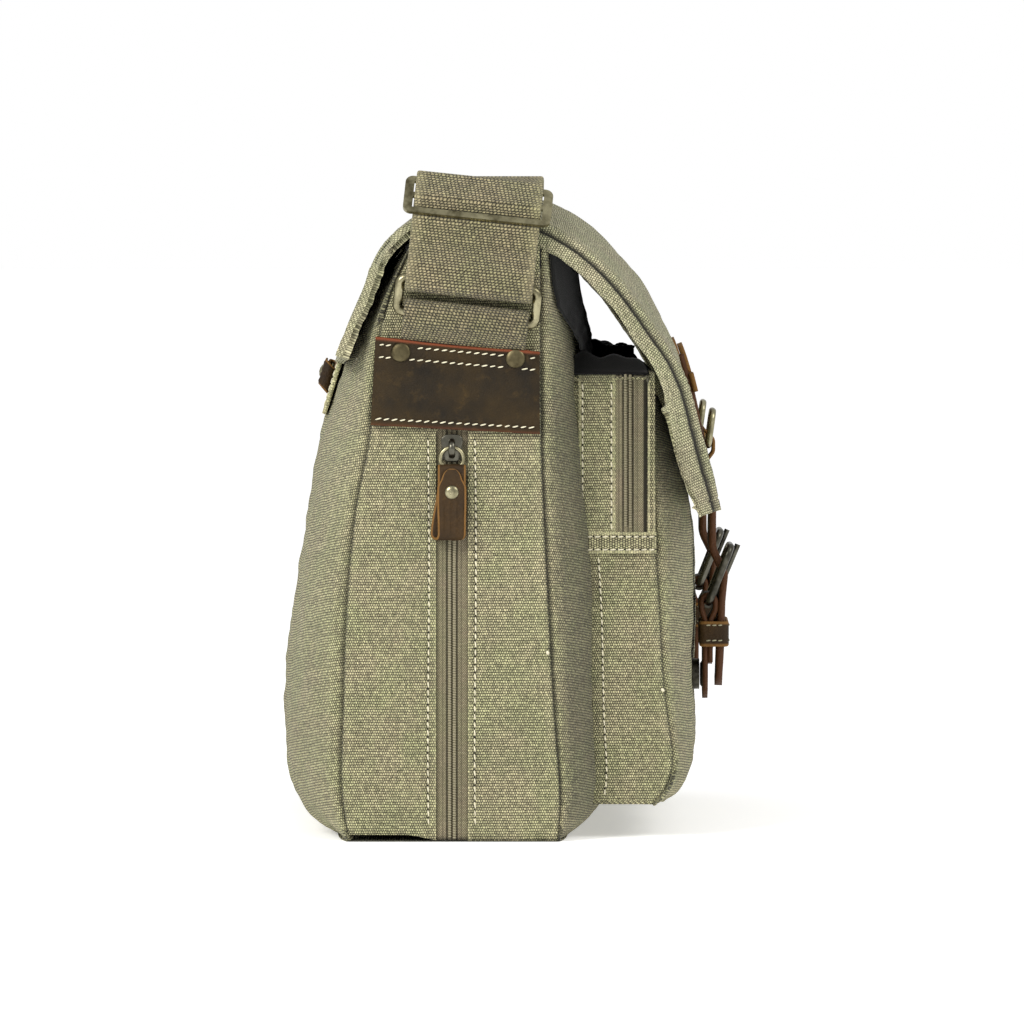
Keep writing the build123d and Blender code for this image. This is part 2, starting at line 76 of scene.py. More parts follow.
HINGES = {j["name"]: in_mm(j["pos_m"]) for j in frame["record"]["behaviour"]["joints"] if "pos_m" in j}
HALF, _, MOUTH_Z = highest("gusset_right")
FLAP_HALF = highest("flap_outer")[0]
POCKET_HALF, _, POCKET_TOP = highest("pocket_gussets")
PLY = highest("base_panel")[2]
ZIP_HALF = highest("side_zip_tapes")[1]
CLOSURE_X = HINGES["closure_hinge_right"][0]
CLOSURE_WIDE = highest("closure_strap_right")[0] - lowest("closure_strap_right")[0]
BAR_Y, BAR_Z = HINGES["strap_ring_hinge_right"][1:]
BAR_OUT = HINGES["strap_ring_hinge_right"][0] - HALF
DROP_AXIS = tuple(HINGES["closure_hinge_left"][1:])
BUCKLE_AXIS = tuple(HINGES["buckle_hinge_left"][1:])
LOOP_AXIS = tuple(HINGES["upper_ring_hinge_left"][1:])

# Sizes and outlines that a box can't give, the same as in the CAD.
WEBBING_WIDE, WEBBING = 49.0, 1.8
STRAP_LEAN = radians(6.0)
RING_TALL, WIRE = 13.0, 1.9

BODY_BACK_END = [(40, 0), (42, 14), (42, 45), (41, 78), (36.5, 130), (31, 160), (28.5, 190), (23, 212), (15, 229)]
BODY_BACK_MID = [(46, 0), (58.5, 10), (65.5, 42), (64.5, 75), (58, 121), (51, 158), (42, 186), (30, 210), (17, 229)]
BODY_FRONT_END = [(-41, 0), (-41.5, 14), (-40, 40), (-37.7, 78), (-35.8, 116), (-34.3, 155), (-34, 190), (-34, 229)]
BODY_FRONT_MID = [(-46, 0), (-57.5, 10), (-61, 40), (-60.5, 78), (-58.5, 116), (-55, 155), (-51, 190), (-46, 229)]
POCKET_END = [(-78, 13), (-84, 22), (-83, 50), (-80, 93), (-78, 120), (-76.5, 150), (-75, 179)]
POCKET_MID = [(-84, 12), (-92, 22), (-95, 50), (-95.2, 88), (-94.5, 118), (-88.5, 148), (-76, 179)]
# The flap from its sewn edge on the back, over the top and down to its front edge.
FLAP_END = [
    (42.6, 186.5), (37.6, 203), (33, 214.5), (28.6, 226.6), (20, 235.6), (5, 241), (-12, 242), (-35, 236),
    (-59, 219.5), (-79.7, 193), (-90.5, 176), (-96, 158), (-101, 141), (-104.5, 128),
]
FLAP_MID = [
    (46.5, 183.5), (41.5, 198), (35.5, 211.5), (28.6, 226.6), (20, 236.5), (5, 245), (-12, 248.5), (-38, 246),
    (-60, 231), (-78, 207.5), (-87.5, 186), (-92.5, 167), (-96.5, 148), (-99, 127),
]


# --- curves -------------------------------------------------------------------------------
def knots(points):
    """Chord-length parameters from 0 to 1."""
    steps = np.linalg.norm(np.diff(np.array(points, float), axis=0), axis=1)
    return np.concatenate([[0], np.cumsum(steps)]) / steps.sum()


def spline(points, at, t):
    """A natural cubic through points with parameters at, read at t."""
    p, n = np.array(points, float), len(points)
    h = np.diff(at)
    a, b = np.eye(n), np.zeros_like(p)
    for i in range(1, n - 1):
        a[i, i - 1:i + 2] = h[i - 1], 2 * (h[i - 1] + h[i]), h[i]
        b[i] = 3 * ((p[i + 1] - p[i]) / h[i] - (p[i] - p[i - 1]) / h[i - 1])
    c = np.linalg.solve(a, b)
    t = np.atleast_1d(np.clip(t, 0, 1))
    i = np.clip(np.searchsorted(at, t, side="right") - 1, 0, n - 2)
    d = (t - at[i])[:, None]
    slope = (p[i + 1] - p[i]) / h[i][:, None] - h[i][:, None] * (2 * c[i] + c[i + 1]) / 3
    return p[i] + slope * d + c[i] * d ** 2 + (c[i + 1] - c[i]) / (3 * h[i][:, None]) * d ** 3


def fullness(u):
    """How far a body section is towards the middle outline, from its share of the half length."""
    return (1 - np.minimum(np.abs(u), 1) ** 6) ** 0.6


def crown(u):
    return (1 - np.minimum(np.abs(u), 1) ** 3.5) ** 0.8


def outline_grid(end, mid, half, full, u, t):
    """Points (u, t, 3) of a surface whose outline swells from end to mid."""
    at = knots(mid)
    e, m = spline(end, at, t), spline(mid, at, t)
    share = full(u)[:, None, None]
    yz = e[None] * (1 - share) + m[None] * share
    x = np.broadcast_to((u * half)[:, None, None], yz.shape[:2] + (1,))
    return np.concatenate([x, yz], axis=2)


def grid_normals(p):
    du, dv = np.gradient(p, axis=0), np.gradient(p, axis=1)
    n = np.cross(du, dv)
    return n / (np.linalg.norm(n, axis=2, keepdims=True) + 1e-9)


def running_length(p):
    """How far each point of a grid is from the first of its row, along the row."""
    steps = np.cumsum(np.linalg.norm(np.diff(p, axis=1), axis=2), axis=1)
    return np.concatenate([np.zeros((p.shape[0], 1)), steps], axis=1)


def rounded_path(points, radii, step=0.5):
    """A path of straight runs with an arc at each inner point, sampled about every step."""
    p = [np.array(q, float) for q in points]
    out = [p[0]]
    for i, r in enumerate(radii, start=1):
        a, b = p[i - 1] - p[i], p[i + 1] - p[i]
        a, b = a / np.linalg.norm(a), b / np.linalg.norm(b)
        turn = np.arccos(np.clip(np.dot(a, b), -1, 1))
        reach = r / np.tan(turn / 2)
        start, finish = p[i] + a * reach, p[i] + b * reach
        count = max(3, int(r * (pi - turn) / step) + 2)
        middle = p[i] + (a + b) / np.linalg.norm(a + b) * (r / sin(turn / 2))
        va, vb = start - middle, finish - middle
        w = pi - turn
        for k in np.linspace(0, 1, count):
            out.append(middle + (np.sin((1 - k) * w) * va + np.sin(k * w) * vb) / np.sin(w))
    out.append(p[-1])
    line = [out[0]]
    for q in out[1:]:
        gap = np.linalg.norm(q - line[-1])
        if gap < 1e-4:
            continue
        parts = max(1, int(gap / 3.0))
        line += [line[-1] + (q - line[-1]) * k / parts for k in range(1, parts + 1)]
    return np.array(line)


def waves(p, seed, size, octaves=3):
    """Smooth repeatable unevenness of about -1 to 1 at points p, for soft folds of about size."""
    g = np.random.default_rng(seed)
    total, weight = np.zeros(p.shape[:-1]), 0.0
    for octave in range(octaves):
        for _ in range(4):
            direction = g.normal(size=3)
            direction /= np.linalg.norm(direction)
            phase = g.uniform(0, 2 * pi)
            total += np.sin((p @ direction) * (2 * pi / size) * 2 ** octave + phase) / 1.7 ** octave
        weight += 2.0 / 1.7 ** octave
    return total / weight


# --- meshes -------------------------------------------------------------------------------
def mesh_object(name, verts, faces, uvs=None, smooth=True):
    """An object from points in millimetres. uvs are per vertex, in millimetres of cloth."""
    mesh = bpy.data.meshes.new(name)
    mesh.from_pydata((np.asarray(verts, float).reshape(-1, 3) * MM).tolist(), [], [list(map(int, f)) for f in faces])
    if uvs is not None:
        layer = mesh.uv_layers.new(name="UVMap")
        index = np.zeros(len(mesh.loops), int)
        mesh.loops.foreach_get("vertex_index", index)
        layer.data.foreach_set("uv", np.asarray(uvs, float).reshape(-1, 2)[index].ravel())
    mesh.polygons.foreach_set("use_smooth", [smooth] * len(mesh.polygons))
    mesh.validate()
    obj = bpy.data.objects.new(name, mesh)
    bpy.context.scene.collection.objects.link(obj)
    return obj


def grid_faces(nu, nv, start=0, closed_u=False, closed_v=False):
    i, j = np.meshgrid(np.arange(nu if closed_u else nu - 1), np.arange(nv if closed_v else nv - 1), indexing="ij")
    i2, j2 = (i + 1) % nu, (j + 1) % nv
    f = np.stack([i * nv + j, i2 * nv + j, i2 * nv + j2, i * nv + j2], axis=-1).reshape(-1, 4)
    return f + start


def shade_attribute(obj, name, values):
    attribute = obj.data.attributes.new(name, "FLOAT", "POINT")
    attribute.data.foreach_set("value", np.asarray(values, np.float32).ravel())


def finalise(obj):
    """Applies the modifiers."""
    graph = bpy.context.evaluated_depsgraph_get()
    mesh = bpy.data.meshes.new_from_object(obj.evaluated_get(graph))
    obj.modifiers.clear()
    obj.data = mesh
    return obj


def thick_sheet(name, p, uv, thick, wear_and_shade=None, flip=False, edge=0.35):
    """A closed cloth piece from a grid of points on its outer face. Its per-point value runs from about -1 to 1:
    above 0 paler, worn cloth; below 0 darker cloth, for dark seams and painted shade.
    """
    nu, nv = p.shape[:2]
    n = grid_normals(p) * (-1 if flip else 1)
    inner = p - n * thick
    faces_out = grid_faces(nu, nv)
    faces_in = grid_faces(nu, nv, nu * nv)[:, ::-1]
    rim = [k * nv for k in range(nu)] + [(nu - 1) * nv + k for k in range(1, nv)]
    rim += [k * nv + nv - 1 for k in range(nu - 2, -1, -1)] + [k for k in range(nv - 2, 0, -1)]
    size = nu * nv
    side = [(rim[(k + 1) % len(rim)], rim[k], rim[k] + size, rim[(k + 1) % len(rim)] + size) for k in range(len(rim))]
    faces = np.concatenate([faces_out, faces_in, np.array(side)])
    if flip:
        faces = faces[:, ::-1]
    obj = mesh_object(name, np.concatenate([p.reshape(-1, 3), inner.reshape(-1, 3)]), faces,
                      np.concatenate([uv.reshape(-1, 2), uv.reshape(-1, 2) + thick]))
    wear_and_shade = np.zeros((nu, nv)) if wear_and_shade is None else wear_and_shade
    shade_attribute(obj, "wear_and_shade", np.concatenate([wear_and_shade.ravel(), wear_and_shade.ravel()]))
    if edge:
        bevel = obj.modifiers.new("edge", "BEVEL")
        bevel.width, bevel.segments, bevel.angle_limit = thick * edge * MM, 3, radians(50)
        finalise(obj)
    return obj


def ribbon(name, path, side, wide, thick, profile=None, relief=None, fine=13, tip=(), lines=None):
    """A flat strip with rounded edges along path. side is the direction across it, one or per point.
    profile gives the share of the width at a distance along, and relief the height of a face there."""
    path = np.asarray(path, float)
    side = np.broadcast_to(np.asarray(side, float), path.shape)
    tangent = np.gradient(path, axis=0)
    tangent /= np.linalg.norm(tangent, axis=1, keepdims=True)
    normal = np.cross(tangent, side)
    normal /= np.linalg.norm(normal, axis=1, keepdims=True)
    r = thick / 2
    across = np.linspace(-wide / 2 + r, wide / 2 - r, fine)
    arc = np.linspace(-pi / 2, pi / 2, 5)[1:-1]
    section = [(y, r) for y in across] + [(wide / 2 - r + r * cos(a), -r * sin(a)) for a in arc]
    section += [(y, -r) for y in across[::-1]] + [(-wide / 2 + r - r * cos(a), r * sin(a)) for a in arc]
    section = np.array(section)
    length = np.concatenate([[0], np.cumsum(np.linalg.norm(np.diff(path, axis=0), axis=1))])
    total = length[-1]
    width = np.ones(len(path)) if profile is None else profile(length, total)
    for end in tip:
        q = np.clip((length if end == 0 else total - length) / (wide * 0.42), 0, 1)
        width = np.minimum(width, 0.12 + 0.88 * np.sqrt(np.clip(1 - (1 - q) ** 2, 0, 1)))
    y = section[None, :, 0] * width[:, None]
    h = np.broadcast_to(section[None, :, 1], y.shape).copy()
    if relief is not None:
        h += np.sign(section[None, :, 1]) * relief(y, length[:, None])
    p = path[:, None] + side[:, None] * y[..., None] + normal[:, None] * h[..., None]
    nu, nv = len(path), len(section)
    uv = np.stack(np.broadcast_arrays(section[None, :, 0], length[:, None]), axis=-1)
    faces = [tuple(f) for f in grid_faces(nu, nv, closed_v=True)]
    faces += [tuple(range(nv))[::-1], tuple(range((nu - 1) * nv, nu * nv))]
    obj = mesh_object(name, p.reshape(-1, 3), faces, uv)
    edge = np.broadcast_to((np.abs(section[:, 0]) > wide / 2 - r * 1.01)[None], (nu, nv)).astype(float)
    edge = np.maximum(edge, ((length < 0.3) | (length > total - 0.3))[:, None] * 1.0)
    if lines is not None:
        edge = np.broadcast_to(lines(section[None, :, 0]), (nu, nv))
    shade_attribute(obj, "wear_and_shade", edge)
    mesh_tidy(obj)
    return obj


def tube(name, path, radius, closed=False, sides=14, flat=1.0):
    """A round wire along a path, with rounded ends if it is open."""
    path = np.asarray(path, float)
    n = len(path)
    if closed:
        tangent = np.roll(path, -1, axis=0) - np.roll(path, 1, axis=0)
    else:
        tangent = np.gradient(path, axis=0)
    tangent /= np.linalg.norm(tangent, axis=1, keepdims=True)
    plane = np.linalg.svd(path - path.mean(axis=0))[2][2]
    out = np.cross(tangent, plane)
    out /= np.linalg.norm(out, axis=1, keepdims=True)
    up = np.cross(out, tangent)
    size = np.full(n, radius, float)
    if not closed:
        length = np.concatenate([[0], np.cumsum(np.linalg.norm(np.diff(path, axis=0), axis=1))])
        q = np.clip(np.minimum(length, length[-1] - length) / radius, 0, 1)
        size = radius * (0.15 + 0.85 * np.sqrt(1 - (1 - q) ** 2))
    angle = np.linspace(0, 2 * pi, sides, endpoint=False)
    ring = out[:, None] * np.cos(angle)[None, :, None] + up[:, None] * np.sin(angle)[None, :, None] * flat
    p = path[:, None] + ring * size[:, None, None]
    faces = [tuple(f) for f in grid_faces(n, sides, closed_u=closed, closed_v=True)]
    if not closed:
        faces += [tuple(range(sides))[::-1], tuple(range((n - 1) * sides, n * sides))]
    obj = mesh_object(name, p.reshape(-1, 3), faces)
    mesh_tidy(obj)
    return obj


def lathe(name, profile, origin, axis, sides=40):
    """A turned piece from (radius, height) points along an axis."""
    axis = np.array(axis, float) / np.linalg.norm(axis)
    one = np.cross(axis, (0.3, 0.5, 0.81))
    one /= np.linalg.norm(one)
    two = np.cross(axis, one)
    angle = np.linspace(0, 2 * pi, sides, endpoint=False)
    rings = []
    for r, h in profile:
        circle = one * np.cos(angle)[:, None] + two * np.sin(angle)[:, None]
        rings.append(np.array(origin, float) + circle * max(r, 0.02) + axis * h)
    n = len(rings)
    faces = [tuple(f) for f in grid_faces(n, sides, closed_v=True)]
    faces += [tuple(range(sides))[::-1], tuple(range((n - 1) * sides, n * sides))]
    obj = mesh_object(name, np.concatenate(rings), faces)
    mesh_tidy(obj)
    return obj


def slab(name, outline, thick, place, bevel=0.4):
    """A plate from an outline of (a, b) points, thick along c. place turns (a, b, c) into a point."""
    n = len(outline)
    low = [place(a, b, 0.0) for a, b in outline]
    high = [place(a, b, thick) for a, b in outline]
    faces = [tuple(range(n))[::-1], tuple(range(n, 2 * n))]
    faces += [(k, (k + 1) % n, (k + 1) % n + n, k + n) for k in range(n)]
    obj = mesh_object(name, np.array(low + high), faces)
    mesh_tidy(obj)
    mod = obj.modifiers.new("edge", "BEVEL")
    mod.width, mod.segments, mod.angle_limit = bevel * MM, 3, radians(40)
    finalise(obj)
    return obj


def mesh_tidy(obj):
    """Turns every face outwards."""
    bm = bmesh.new()
    bm.from_mesh(obj.data)
    bmesh.ops.recalc_face_normals(bm, faces=bm.faces)
    bm.to_mesh(obj.data)
    bm.free()


def capsules(name, places, radius, material, body, squash=0.75):
    """Many short rounded threads in one mesh. places are (middle, direction, normal, length)."""
    rings, around = [-1.0, -0.8, -0.35, 0.35, 0.8, 1.0], 7
    verts, faces = [], []
    for middle, along, up, long in places:
        along = along / np.linalg.norm(along)
        side = np.cross(along, up)
        side /= np.linalg.norm(side)
        up = np.cross(side, along)
        start = len(verts)
        for k in rings:
            size = radius * np.sqrt(max(1 - abs(k) ** 3.0, 0.02))
            for a in range(around):
                angle = 2 * pi * a / around
                rim = side * cos(angle) * size + up * sin(angle) * size * squash
                verts.append(middle + along * k * long / 2 + rim)
        for f in grid_faces(len(rings), around, start, closed_v=True):
            faces.append(tuple(f))
        faces.append(tuple(range(start, start + around))[::-1])
        faces.append(tuple(range(start + (len(rings) - 1) * around, start + len(rings) * around)))
    obj = mesh_object(name, verts, faces)
    mesh_tidy(obj)
    finish_piece(obj, material, body)
    return obj


def stitch_places(path, normals, pitch, share=0.74, sink=0.0, slant=0.12):
    """Places for capsules() evenly along a path of points with surface normals."""
    path, normals = np.asarray(path, float), np.asarray(normals, float)
    length = np.concatenate([[0], np.cumsum(np.linalg.norm(np.diff(path, axis=0), axis=1))])
    places = []
    for s in np.arange(pitch * 0.6, length[-1] - pitch * 0.4, pitch):
        at = np.array([np.interp(s, length, path[:, k]) for k in range(3)])
        ahead = np.array([np.interp(s + 0.8, length, path[:, k]) for k in range(3)])
        behind = np.array([np.interp(s - 0.8, length, path[:, k]) for k in range(3)])
        n = np.array([np.interp(s, length, normals[:, k]) for k in range(3)])
        n /= np.linalg.norm(n)
        along = (ahead - behind) / np.linalg.norm(ahead - behind)
        along = along + np.cross(n, along) * (slant + rng.normal() * 0.03)
        places.append((at + n * (0.12 - sink), along, n, pitch * share * (1 + rng.normal() * 0.04)))
    return places


def needle_hole_shade(name, places, body):
    """Painted shade: dark dimples between stitches, for the shade in the needle holes."""
    found = []
    for middle, along, up, long in places:
        along = along / np.linalg.norm(along)
        found.append((middle + along * long * 0.66 - up * 0.02, along, up, 0.75))
    return capsules(name, found, 0.32, HOLE_SHADE, body, squash=0.4)


def finish_piece(obj, material, body=None, replaces=()):
    obj.data.materials.clear()
    obj.data.materials.append(material)
    if body:
        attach(obj, body)
    if replaces:
        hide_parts(*replaces)
    return obj


# --- materials ----------------------------------------------------------------------------
class Nodes:
    """A short way to build a material's node tree."""

    def __init__(self, name):
        self.material = bpy.data.materials.new(name)
        self.material.use_nodes = True
        self.tree = self.material.node_tree
        self.shader = self.tree.nodes["Principled BSDF"]

    def add(self, kind, inputs=None, **settings):
        node = self.tree.nodes.new(kind)
        for key, value in settings.items():
            setattr(node, key, value)
        for key, value in (inputs or {}).items():
            if isinstance(value, bpy.types.NodeSocket):
                self.tree.links.new(value, node.inputs[key])
            else:
                node.inputs[key].default_value = value
        return node

    def math(self, operation, a, b=0.0, c=0.0):
        return self.add("ShaderNodeMath", {0: a, 1: b, 2: c}, operation=operation).outputs[0]

    def mix(self, factor, a, b, blend="MIX"):
        node = self.add("ShaderNodeMix", {0: factor, 6: a, 7: b}, data_type="RGBA", blend_type=blend)
        return node.outputs[2]

    def noise(self, scale, detail=3.0, rough=0.55, vector=None):
        inputs = {"Scale": scale, "Detail": detail, "Roughness": rough}
        inputs["Vector"] = vector if vector is not None else self.place()
        return self.add("ShaderNodeTexNoise", inputs).outputs[0]

    def place(self):
        if not hasattr(self, "_place"):
            self._place = self.add("ShaderNodeTexCoord")
        return self._place.outputs["Object"]

    def uv(self):
        self.place()
        return self._place.outputs["UV"]

    def ramp(self, value, low, high):
        """value stretched so that low gives 0 and high gives 1."""
        inputs = {0: value, 1: low, 2: high, 3: 0.0, 4: 1.0}
        return self.add("ShaderNodeMapRange", inputs).outputs[0]

    def attribute(self, name):
        return self.add("ShaderNodeAttribute", attribute_name=name).outputs["Fac"]

    def set(self, **values):
        for key, value in values.items():
            socket = self.shader.inputs[key.replace("_", " ")]
            if isinstance(value, bpy.types.NodeSocket):
                self.tree.links.new(value, socket)
            else:
                socket.default_value = value

    def bump(self, height, distance, strength=1.0, under=None):
        inputs = {"Height": height, "Distance": distance, "Strength": strength}
        if under is not None:
            inputs["Normal"] = under
        return self.add("ShaderNodeBump", inputs).outputs[0]


def srgb(r, g, b, scale=1.0):
    def linear(v):
        v = v / 255
        return (v / 12.92 if v <= 0.04045 else ((v + 0.055) / 1.055) ** 2.4) * scale
    return (linear(r), linear(g), linear(b), 1.0)


def woven(name, colour, gap, pitch, row, relief, vary=0.16, wash=0.12, rough=0.88, skew=0.0, worn=None):
    """Plain-woven cloth: staggered rows of yarn floats, in millimetres of the UV map."""
    m = Nodes(name)
    uv = m.add("ShaderNodeSeparateXYZ", {0: m.uv()})
    wobble = m.math("MULTIPLY", m.math("SUBTRACT", m.noise(0.9, 2.0, vector=m.uv()), 0.5), 0.7)
    u = m.math("ADD", m.math("DIVIDE", uv.outputs[0], pitch), wobble)
    v = m.math("ADD", m.math("DIVIDE", uv.outputs[1], row), wobble)
    u = m.math("ADD", u, m.math("MULTIPLY", v, skew))
    line = m.math("FLOOR", v)
    u = m.math("ADD", u, m.math("MULTIPLY", line, 0.5))
    cell = m.math("FLOOR", u)
    a = m.math("SINE", m.math("MULTIPLY", m.math("FRACT", u), pi))
    b = m.math("SINE", m.math("MULTIPLY", m.math("FRACT", v), pi))
    height = m.math("POWER", m.math("MULTIPLY", a, b), 0.6)
    index = m.add("ShaderNodeCombineXYZ", {0: cell, 1: line}).outputs[0]
    yarn = m.add("ShaderNodeTexWhiteNoise", {0: index}, noise_dimensions="3D").outputs[0]
    drawn = m.add("ShaderNodeVectorMath", {0: m.uv(), 1: (0.12, 1.6, 1.0)}, operation="MULTIPLY")
    slub = m.noise(0.35, 2.0, vector=drawn.outputs[0])
    tone = m.math("ADD", m.math("MULTIPLY", m.math("SUBTRACT", yarn, 0.5), vary * 2), 1.0)
    tone = m.math("MULTIPLY", tone, m.math("ADD", m.math("MULTIPLY", m.math("SUBTRACT", slub, 0.5), vary * 1.5), 1.0))
    cloudy = m.math("ADD", m.math("MULTIPLY", m.math("SUBTRACT", m.noise(28.0, 5.0, 0.6), 0.5), wash * 3), 1.0)
    tone = m.math("MULTIPLY", tone, cloudy)
    body = m.mix(m.ramp(height, 0.18, 0.92), gap, colour)
    wear_and_shade = m.attribute("wear_and_shade")
    # Values below 0 darken the cloth towards its gap colour, for dark seams and painted shade; values above 0 pale it
    # where it is worn.
    body = m.mix(m.ramp(wear_and_shade, 0.0, -1.0), body, tuple(c * 0.25 for c in gap[:3]) + (1.0,))
    pale = worn or tuple(min(1, c * 1.35) for c in colour[:3]) + (1.0,)
    body = m.mix(m.math("MULTIPLY", m.ramp(wear_and_shade, 0.0, 1.0), 0.55), body, pale)
    grey = m.add("ShaderNodeCombineColor", {0: tone, 1: tone, 2: tone}).outputs[0]
    faded = m.mix(m.ramp(m.noise(75.0, 3.0, 0.6), 0.36, 0.64), (1.02, 0.97, 0.97, 1.0), (0.96, 0.99, 0.90, 1.0))
    body = m.mix(1.0, body, faded, "MULTIPLY")
    m.set(Base_Color=m.mix(1.0, body, grey, "MULTIPLY"), Roughness=rough)
    fuzz = m.noise(1400.0, 2.0)
    total = m.math("ADD", height, m.math("MULTIPLY", fuzz, 0.35))
    m.set(Normal=m.bump(total, relief))
    m.shader.inputs["Specular IOR Level"].default_value = 0.25
    m.shader.inputs["Sheen Weight"].default_value = 0.12
    m.shader.inputs["Sheen Roughness"].default_value = 0.5
    return m.material


def leather(name, colour, dark, edge, rough=0.5, grain=1.0, wax=0.35):
    m = Nodes(name)
    cloud = m.noise(45.0, 5.0, 0.6)
    streak = m.noise(160.0, 4.0, 0.7)
    tone = m.mix(m.ramp(cloud, 0.32, 0.72), dark, colour)
    pale = tuple(min(1, c * 1.7) for c in colour[:3]) + (1.0,)
    tone = m.mix(m.math("MULTIPLY", m.ramp(streak, 0.55, 0.8), wax), tone, pale)
    tone = m.mix(m.attribute("wear_and_shade"), tone, edge)
    cells = {"Vector": m.place(), "Scale": 900.0}
    pebble = m.add("ShaderNodeTexVoronoi", cells, feature="DISTANCE_TO_EDGE").outputs[0]
    pores = m.noise(2600.0, 2.0)
    height = m.math("ADD", m.ramp(pebble, 0.0, 0.25), m.math("MULTIPLY", pores, 0.6))
    creases = m.math("MULTIPLY", m.noise(120.0, 6.0, 0.7), 2.0)
    normal = m.bump(height, 0.00010 * grain)
    normal = m.bump(creases, 0.00035 * grain, under=normal)
    m.set(Base_Color=tone, Normal=normal, Roughness=m.math("ADD", m.math("MULTIPLY", cloud, 0.3), rough - 0.12))
    m.shader.inputs["Specular IOR Level"].default_value = 0.22
    return m.material


def metal(name, colour, dark, rough=0.32):
    m = Nodes(name)
    patina = m.noise(110.0, 5.0, 0.65)
    scratch = m.noise(900.0, 3.0, 0.6)
    m.set(Base_Color=m.mix(m.ramp(patina, 0.42, 0.68), colour, dark), Metallic=1.0)
    m.set(Roughness=m.math("ADD", m.math("MULTIPLY", patina, 0.25), rough - 0.08))
    m.set(Normal=m.bump(scratch, 0.00003))
    return m.material


def thread(name, colour):
    m = Nodes(name)
    twist = m.noise(900.0, 2.0)
    shade = tuple(c * 0.7 for c in colour[:3]) + (1.0,)
    m.set(Base_Color=m.mix(m.ramp(twist, 0.35, 0.65), shade, colour), Roughness=0.75, Normal=m.bump(twist, 0.00012))
    return m.material


def plain(name, colour, rough=0.6, speckle=0.2):
    m = Nodes(name)
    fine = m.noise(700.0, 3.0)
    shade = tuple(c * (1 - speckle) for c in colour[:3]) + (1.0,)
    m.set(Base_Color=m.mix(fine, shade, colour), Roughness=rough, Normal=m.bump(fine, 0.00005))
    return m.material


CANVAS = woven("canvas", srgb(188, 184, 146), srgb(42, 40, 24), 0.90, 1.02, 0.00052, vary=0.3)
# A paler copy of the canvas, with lighter gaps, for the flap: painted light, for the flap's top washed out by the
# lamps.
CANVAS_PAINTED_LIGHT = woven("canvas_flap_painted_light", srgb(190, 187, 154), srgb(66, 64, 46), 0.90, 1.02, 0.00040, vary=0.22)
WEB = woven("webbing", srgb(160, 152, 118), srgb(34, 31, 17), 1.45, 1.05, 0.0008, vary=0.25, skew=0.3,
            worn=srgb(158, 150, 118))
TAPE_CLOTH = woven("zip_tape", srgb(158, 150, 124), srgb(78, 73, 56), 0.8, 0.5, 0.00015, vary=0.14)
BLACK = woven("black_lining", srgb(17, 17, 15), srgb(3, 3, 3), 0.5, 0.3, 0.00008, wash=0.05, worn=srgb(22, 22, 20))
PATCH = leather("patch_leather", srgb(56, 42, 16), srgb(24, 17, 5), srgb(120, 60, 34), 0.65, wax=0.7)
TAN = leather("strap_leather", srgb(64, 45, 18), srgb(30, 20, 8), srgb(118, 84, 40), 0.6, wax=0.6)
DARK = leather("closure_leather", srgb(50, 31, 16), srgb(24, 15, 8), srgb(74, 44, 21), 0.5, wax=0.4)
BRASS = metal("antique_brass", srgb(160, 154, 124), srgb(84, 79, 58), 0.24)
RIVET = metal("rivet_brass", srgb(100, 92, 68), srgb(50, 44, 30), 0.36)
GUNMETAL = metal("dark_metal", srgb(96, 94, 84), srgb(38, 36, 30), 0.25)
THREAD = thread("cream_thread", srgb(226, 219, 190))
THREAD_SOFT = thread("faded_thread", srgb(168, 163, 134))
# Painted shade for the needle holes.
HOLE_SHADE = plain("needle_hole_shade", srgb(30, 28, 20), 0.9)
COIL = plain("zip_coil", srgb(150, 143, 116), 0.45)
BOARD = plain("base_board", srgb(40, 40, 38), 0.7)


def between(low, high, value):
    """0 below low, 1 above high and smooth from one to the other."""
    q = np.clip((value - low) / (high - low), 0, 1)
    return q * q * (3 - 2 * q)


def bell(value, wide):
    return np.exp(-(value / wide) ** 2)


# --- body: the two gussets, each in halves folded at the zip ----------------------------------
def end_edge(end, mid, z):
    points = spline(end, knots(mid), np.linspace(0, 1, 300))
    return np.interp(z, points[:, 1], points[:, 0])


